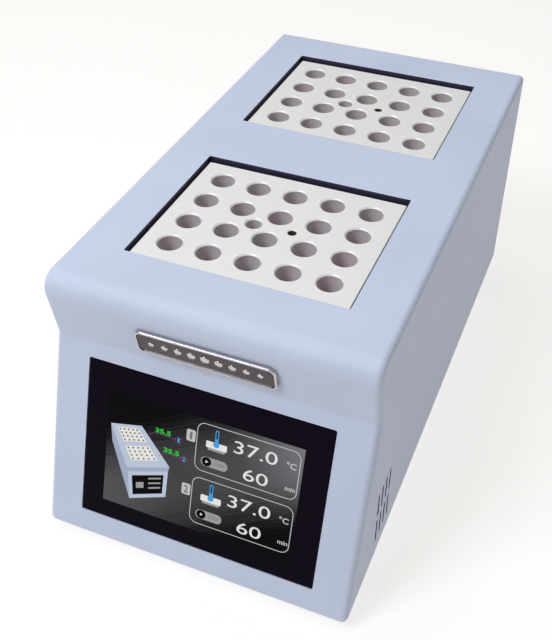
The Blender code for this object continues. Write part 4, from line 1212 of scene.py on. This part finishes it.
def make_stage():
    """A pale floor that runs into the background, soft studio lights and the camera."""
    floor = bmesh.new()
    just_under = Matrix.Translation((0, 0, -FLOOR_CLEARANCE))
    bmesh.ops.create_grid(floor, x_segments=1, y_segments=1, size=3.0, matrix=just_under)
    mesh = mesh_of("floor", floor)
    mesh.materials.append(pale_light_table(tones().floor))
    ground = put("floor", mesh)

    world = bpy.data.worlds.new("studio")
    world.use_nodes = True
    surround = world.node_tree.nodes["Background"]
    surround.inputs["Color"].default_value = PALE_SKY
    surround.inputs["Strength"].default_value = sizes().surround_light
    bpy.context.scene.world = world

    def softbox(name, place, size, power, tint):
        light = bpy.data.lights.new(name, "AREA")
        light.size = size
        light.energy = power
        light.color = tint
        lamp = put(name, light)
        lamp.location = place
        aim = Vector((0, 0, TOP_Z)) - Vector(place)
        lamp.rotation_euler = aim.to_track_quat("-Z", "Y").to_euler()

    softbox("overhead_softbox", (-0.3, 0.15, 1.2), 0.8, sizes().overhead_light, COOL)
    softbox("key_softbox", (-0.51, -0.74, 1.13), 0.5, sizes().key_light, COOLER)
    softbox("fill_softbox", (0.45, 0.05, 1.2), 0.8, sizes().fill_light, WARM)

    camera = bpy.data.cameras.new("camera")
    camera.sensor_width = 36
    camera.lens = CAMERA_LENS
    camera.shift_x, camera.shift_y = CAMERA_SHIFT
    viewer = put("camera", camera)
    window = Vector((0, sum(BLOCK_BOX["front"], Vector()).y / 2, TOP_Z))
    viewer.location = window + Vector(CAMERA_PLACE)
    viewer.rotation_euler = [radians(angle) for angle in CAMERA_TURN]
    bpy.context.scene.camera = viewer
    bpy.context.scene.view_settings.view_transform = "Standard"


def amount(name, description, default, most, **settings):
    return FloatProperty(
        name=name, description=description, default=default, min=0.0, max=most, **settings
    )


class HeaterSizes(bpy.types.PropertyGroup):
    """Sizes and light levels that a user may change before building the heater."""

    edge_radius: amount(
        "Edge radius", "Rounding of the housing's long edges", 0.003, 0.005, unit="LENGTH"
    )
    rim_radius: amount(
        "Window rim", "Rounding of the rims over the two wells", 0.0008, 0.001, unit="LENGTH"
    )
    hole_chamfer: amount(
        "Hole chamfer", "Chamfer on the rim of each tube hole", 0.0006, 0.001, unit="LENGTH"
    )
    overhead_light: amount(
        "Overhead light", "Power of the softbox over the heater", 4.9, 100, unit="POWER"
    )
    key_light: amount(
        "Key light", "Power of the softbox over the front left", 10.8, 100, unit="POWER"
    )
    fill_light: amount(
        "Fill light", "Power of the softbox over the right side", 2.2, 100, unit="POWER"
    )
    surround_light: amount("Surround light", "Strength of the pale studio all round", 0.14, 10)


def tone(name, description, hex_value):
    return FloatVectorProperty(
        name=name,
        description=description,
        default=colour(hex_value),
        size=4,
        min=0.0,
        max=1.0,
        subtype="COLOR",
    )


class HeaterColours(bpy.types.PropertyGroup):
    """Colours that a user may change before building the heater."""

    housing: tone("Housing", "Powder coat on the housing", "#C3CBDF")
    block: tone("Block", "Bead-blasted faces of the blocks", "#EDEBE6")
    bore: tone("Bore", "Drilled walls of the holes", "#D2C8CB")
    # This dark colour also paints shade on the housing's cut edges round the windows and in the air
    # slots.
    well: tone("Well", "Anodised wells round the blocks", "#37324A")
    glass: tone("Glass", "Black border of the cover glass", "#0E0714")
    chrome: tone("Chrome", "Rim and dots of the name plate", "#C8C4C6")
    enamel: tone("Enamel", "Dark field of the name plate", "#3A2A30")
    floor: tone("Floor", "Pale light table", "#9A9A9A")
    glow: amount("Screen glow", "How brightly the screen is lit", 0.9, 5)


class HEATER_OT_housing(bpy.types.Operator):
    """Make the housing shell and the rear panel"""

    bl_idname = "heater.housing"
    bl_label = "Housing"

    def execute(self, context):
        make_housing()
        make_rear_panel()
        return {"FINISHED"}


class HEATER_OT_blocks(bpy.types.Operator):
    """Make the two lift-out blocks and the wells that they stand in"""

    bl_idname = "heater.blocks"
    bl_label = "Blocks and wells"

    def execute(self, context):
        for end in ENDS:
            make_block(end)
            make_well(end)
        return {"FINISHED"}


class HEATER_OT_display(bpy.types.Operator):
    """Make the cover glass and the picture on the screen"""

    bl_idname = "heater.display"
    bl_label = "Display"

    def execute(self, context):
        make_glass()
        make_screen()
        return {"FINISHED"}


class HEATER_OT_badge(bpy.types.Operator):
    """Make the plain name plate on the fascia"""

    bl_idname = "heater.badge"
    bl_label = "Name plate"

    def execute(self, context):
        make_badge()
        return {"FINISHED"}


class HEATER_OT_feet(bpy.types.Operator):
    """Make the four rubber feet"""

    bl_idname = "heater.feet"
    bl_label = "Feet"

    def execute(self, context):
        for corner in CORNERS:
            make_foot(f"foot_{corner}")
        return {"FINISHED"}


class HEATER_OT_power(bpy.types.Operator):
    """Make the inlet, its fuse drawer, the switch and the screws of the rear panel"""

    bl_idname = "heater.power"
    bl_label = "Power inlet and switch"

    def execute(self, context):
        make_inlet()
        make_fuse_drawer()
        make_switch()
        make_rocker()
        make_screws()
        return {"FINISHED"}


class HEATER_OT_inside(bpy.types.Operator):
    """Give the pieces inside the housing their finishes"""

    bl_idname = "heater.inside"
    bl_label = "Inner pieces"

    def execute(self, context):
        finish_cad_nodes()
        return {"FINISHED"}


class HEATER_OT_stage(bpy.types.Operator):
    """Make the floor, the lights and the camera"""

    bl_idname = "heater.stage"
    bl_label = "Stage"

    def execute(self, context):
        make_stage()
        return {"FINISHED"}


STEPS = (
    HEATER_OT_stage,
    HEATER_OT_housing,
    HEATER_OT_blocks,
    HEATER_OT_display,
    HEATER_OT_badge,
    HEATER_OT_feet,
    HEATER_OT_power,
    HEATER_OT_inside,
)


class HEATER_PT_panel(bpy.types.Panel):
    """Lists the sizes, the colours and the steps that build the heater"""

    bl_idname = "HEATER_PT_panel"
    bl_label = "Dry block heater"
    bl_space_type = "VIEW_3D"
    bl_region_type = "UI"
    bl_category = "Heater"

    def draw(self, context):
        for group in (context.scene.heater_sizes, context.scene.heater_colours):
            column = self.layout.column()
            for name in group.bl_rna.properties.keys():
                if name not in ("rna_type", "name"):
                    column.prop(group, name)
        for step in STEPS:
            self.layout.operator(step.bl_idname)


CLASSES = (HeaterSizes, HeaterColours, *STEPS, HEATER_PT_panel)


def register():
    for item in CLASSES:
        bpy.utils.register_class(item)
    bpy.types.Scene.heater_sizes = PointerProperty(type=HeaterSizes)
    bpy.types.Scene.heater_colours = PointerProperty(type=HeaterColours)


def unregister():
    del bpy.types.Scene.heater_colours
    del bpy.types.Scene.heater_sizes
    for item in reversed(CLASSES):
        bpy.utils.unregister_class(item)


def main():
    register()
    bpy.ops.heater.stage()
    bpy.ops.heater.housing()
    bpy.ops.heater.blocks()
    bpy.ops.heater.display()
    bpy.ops.heater.badge()
    bpy.ops.heater.feet()
    bpy.ops.heater.power()
    bpy.ops.heater.inside()


if __name__ == "__main__":
    main()
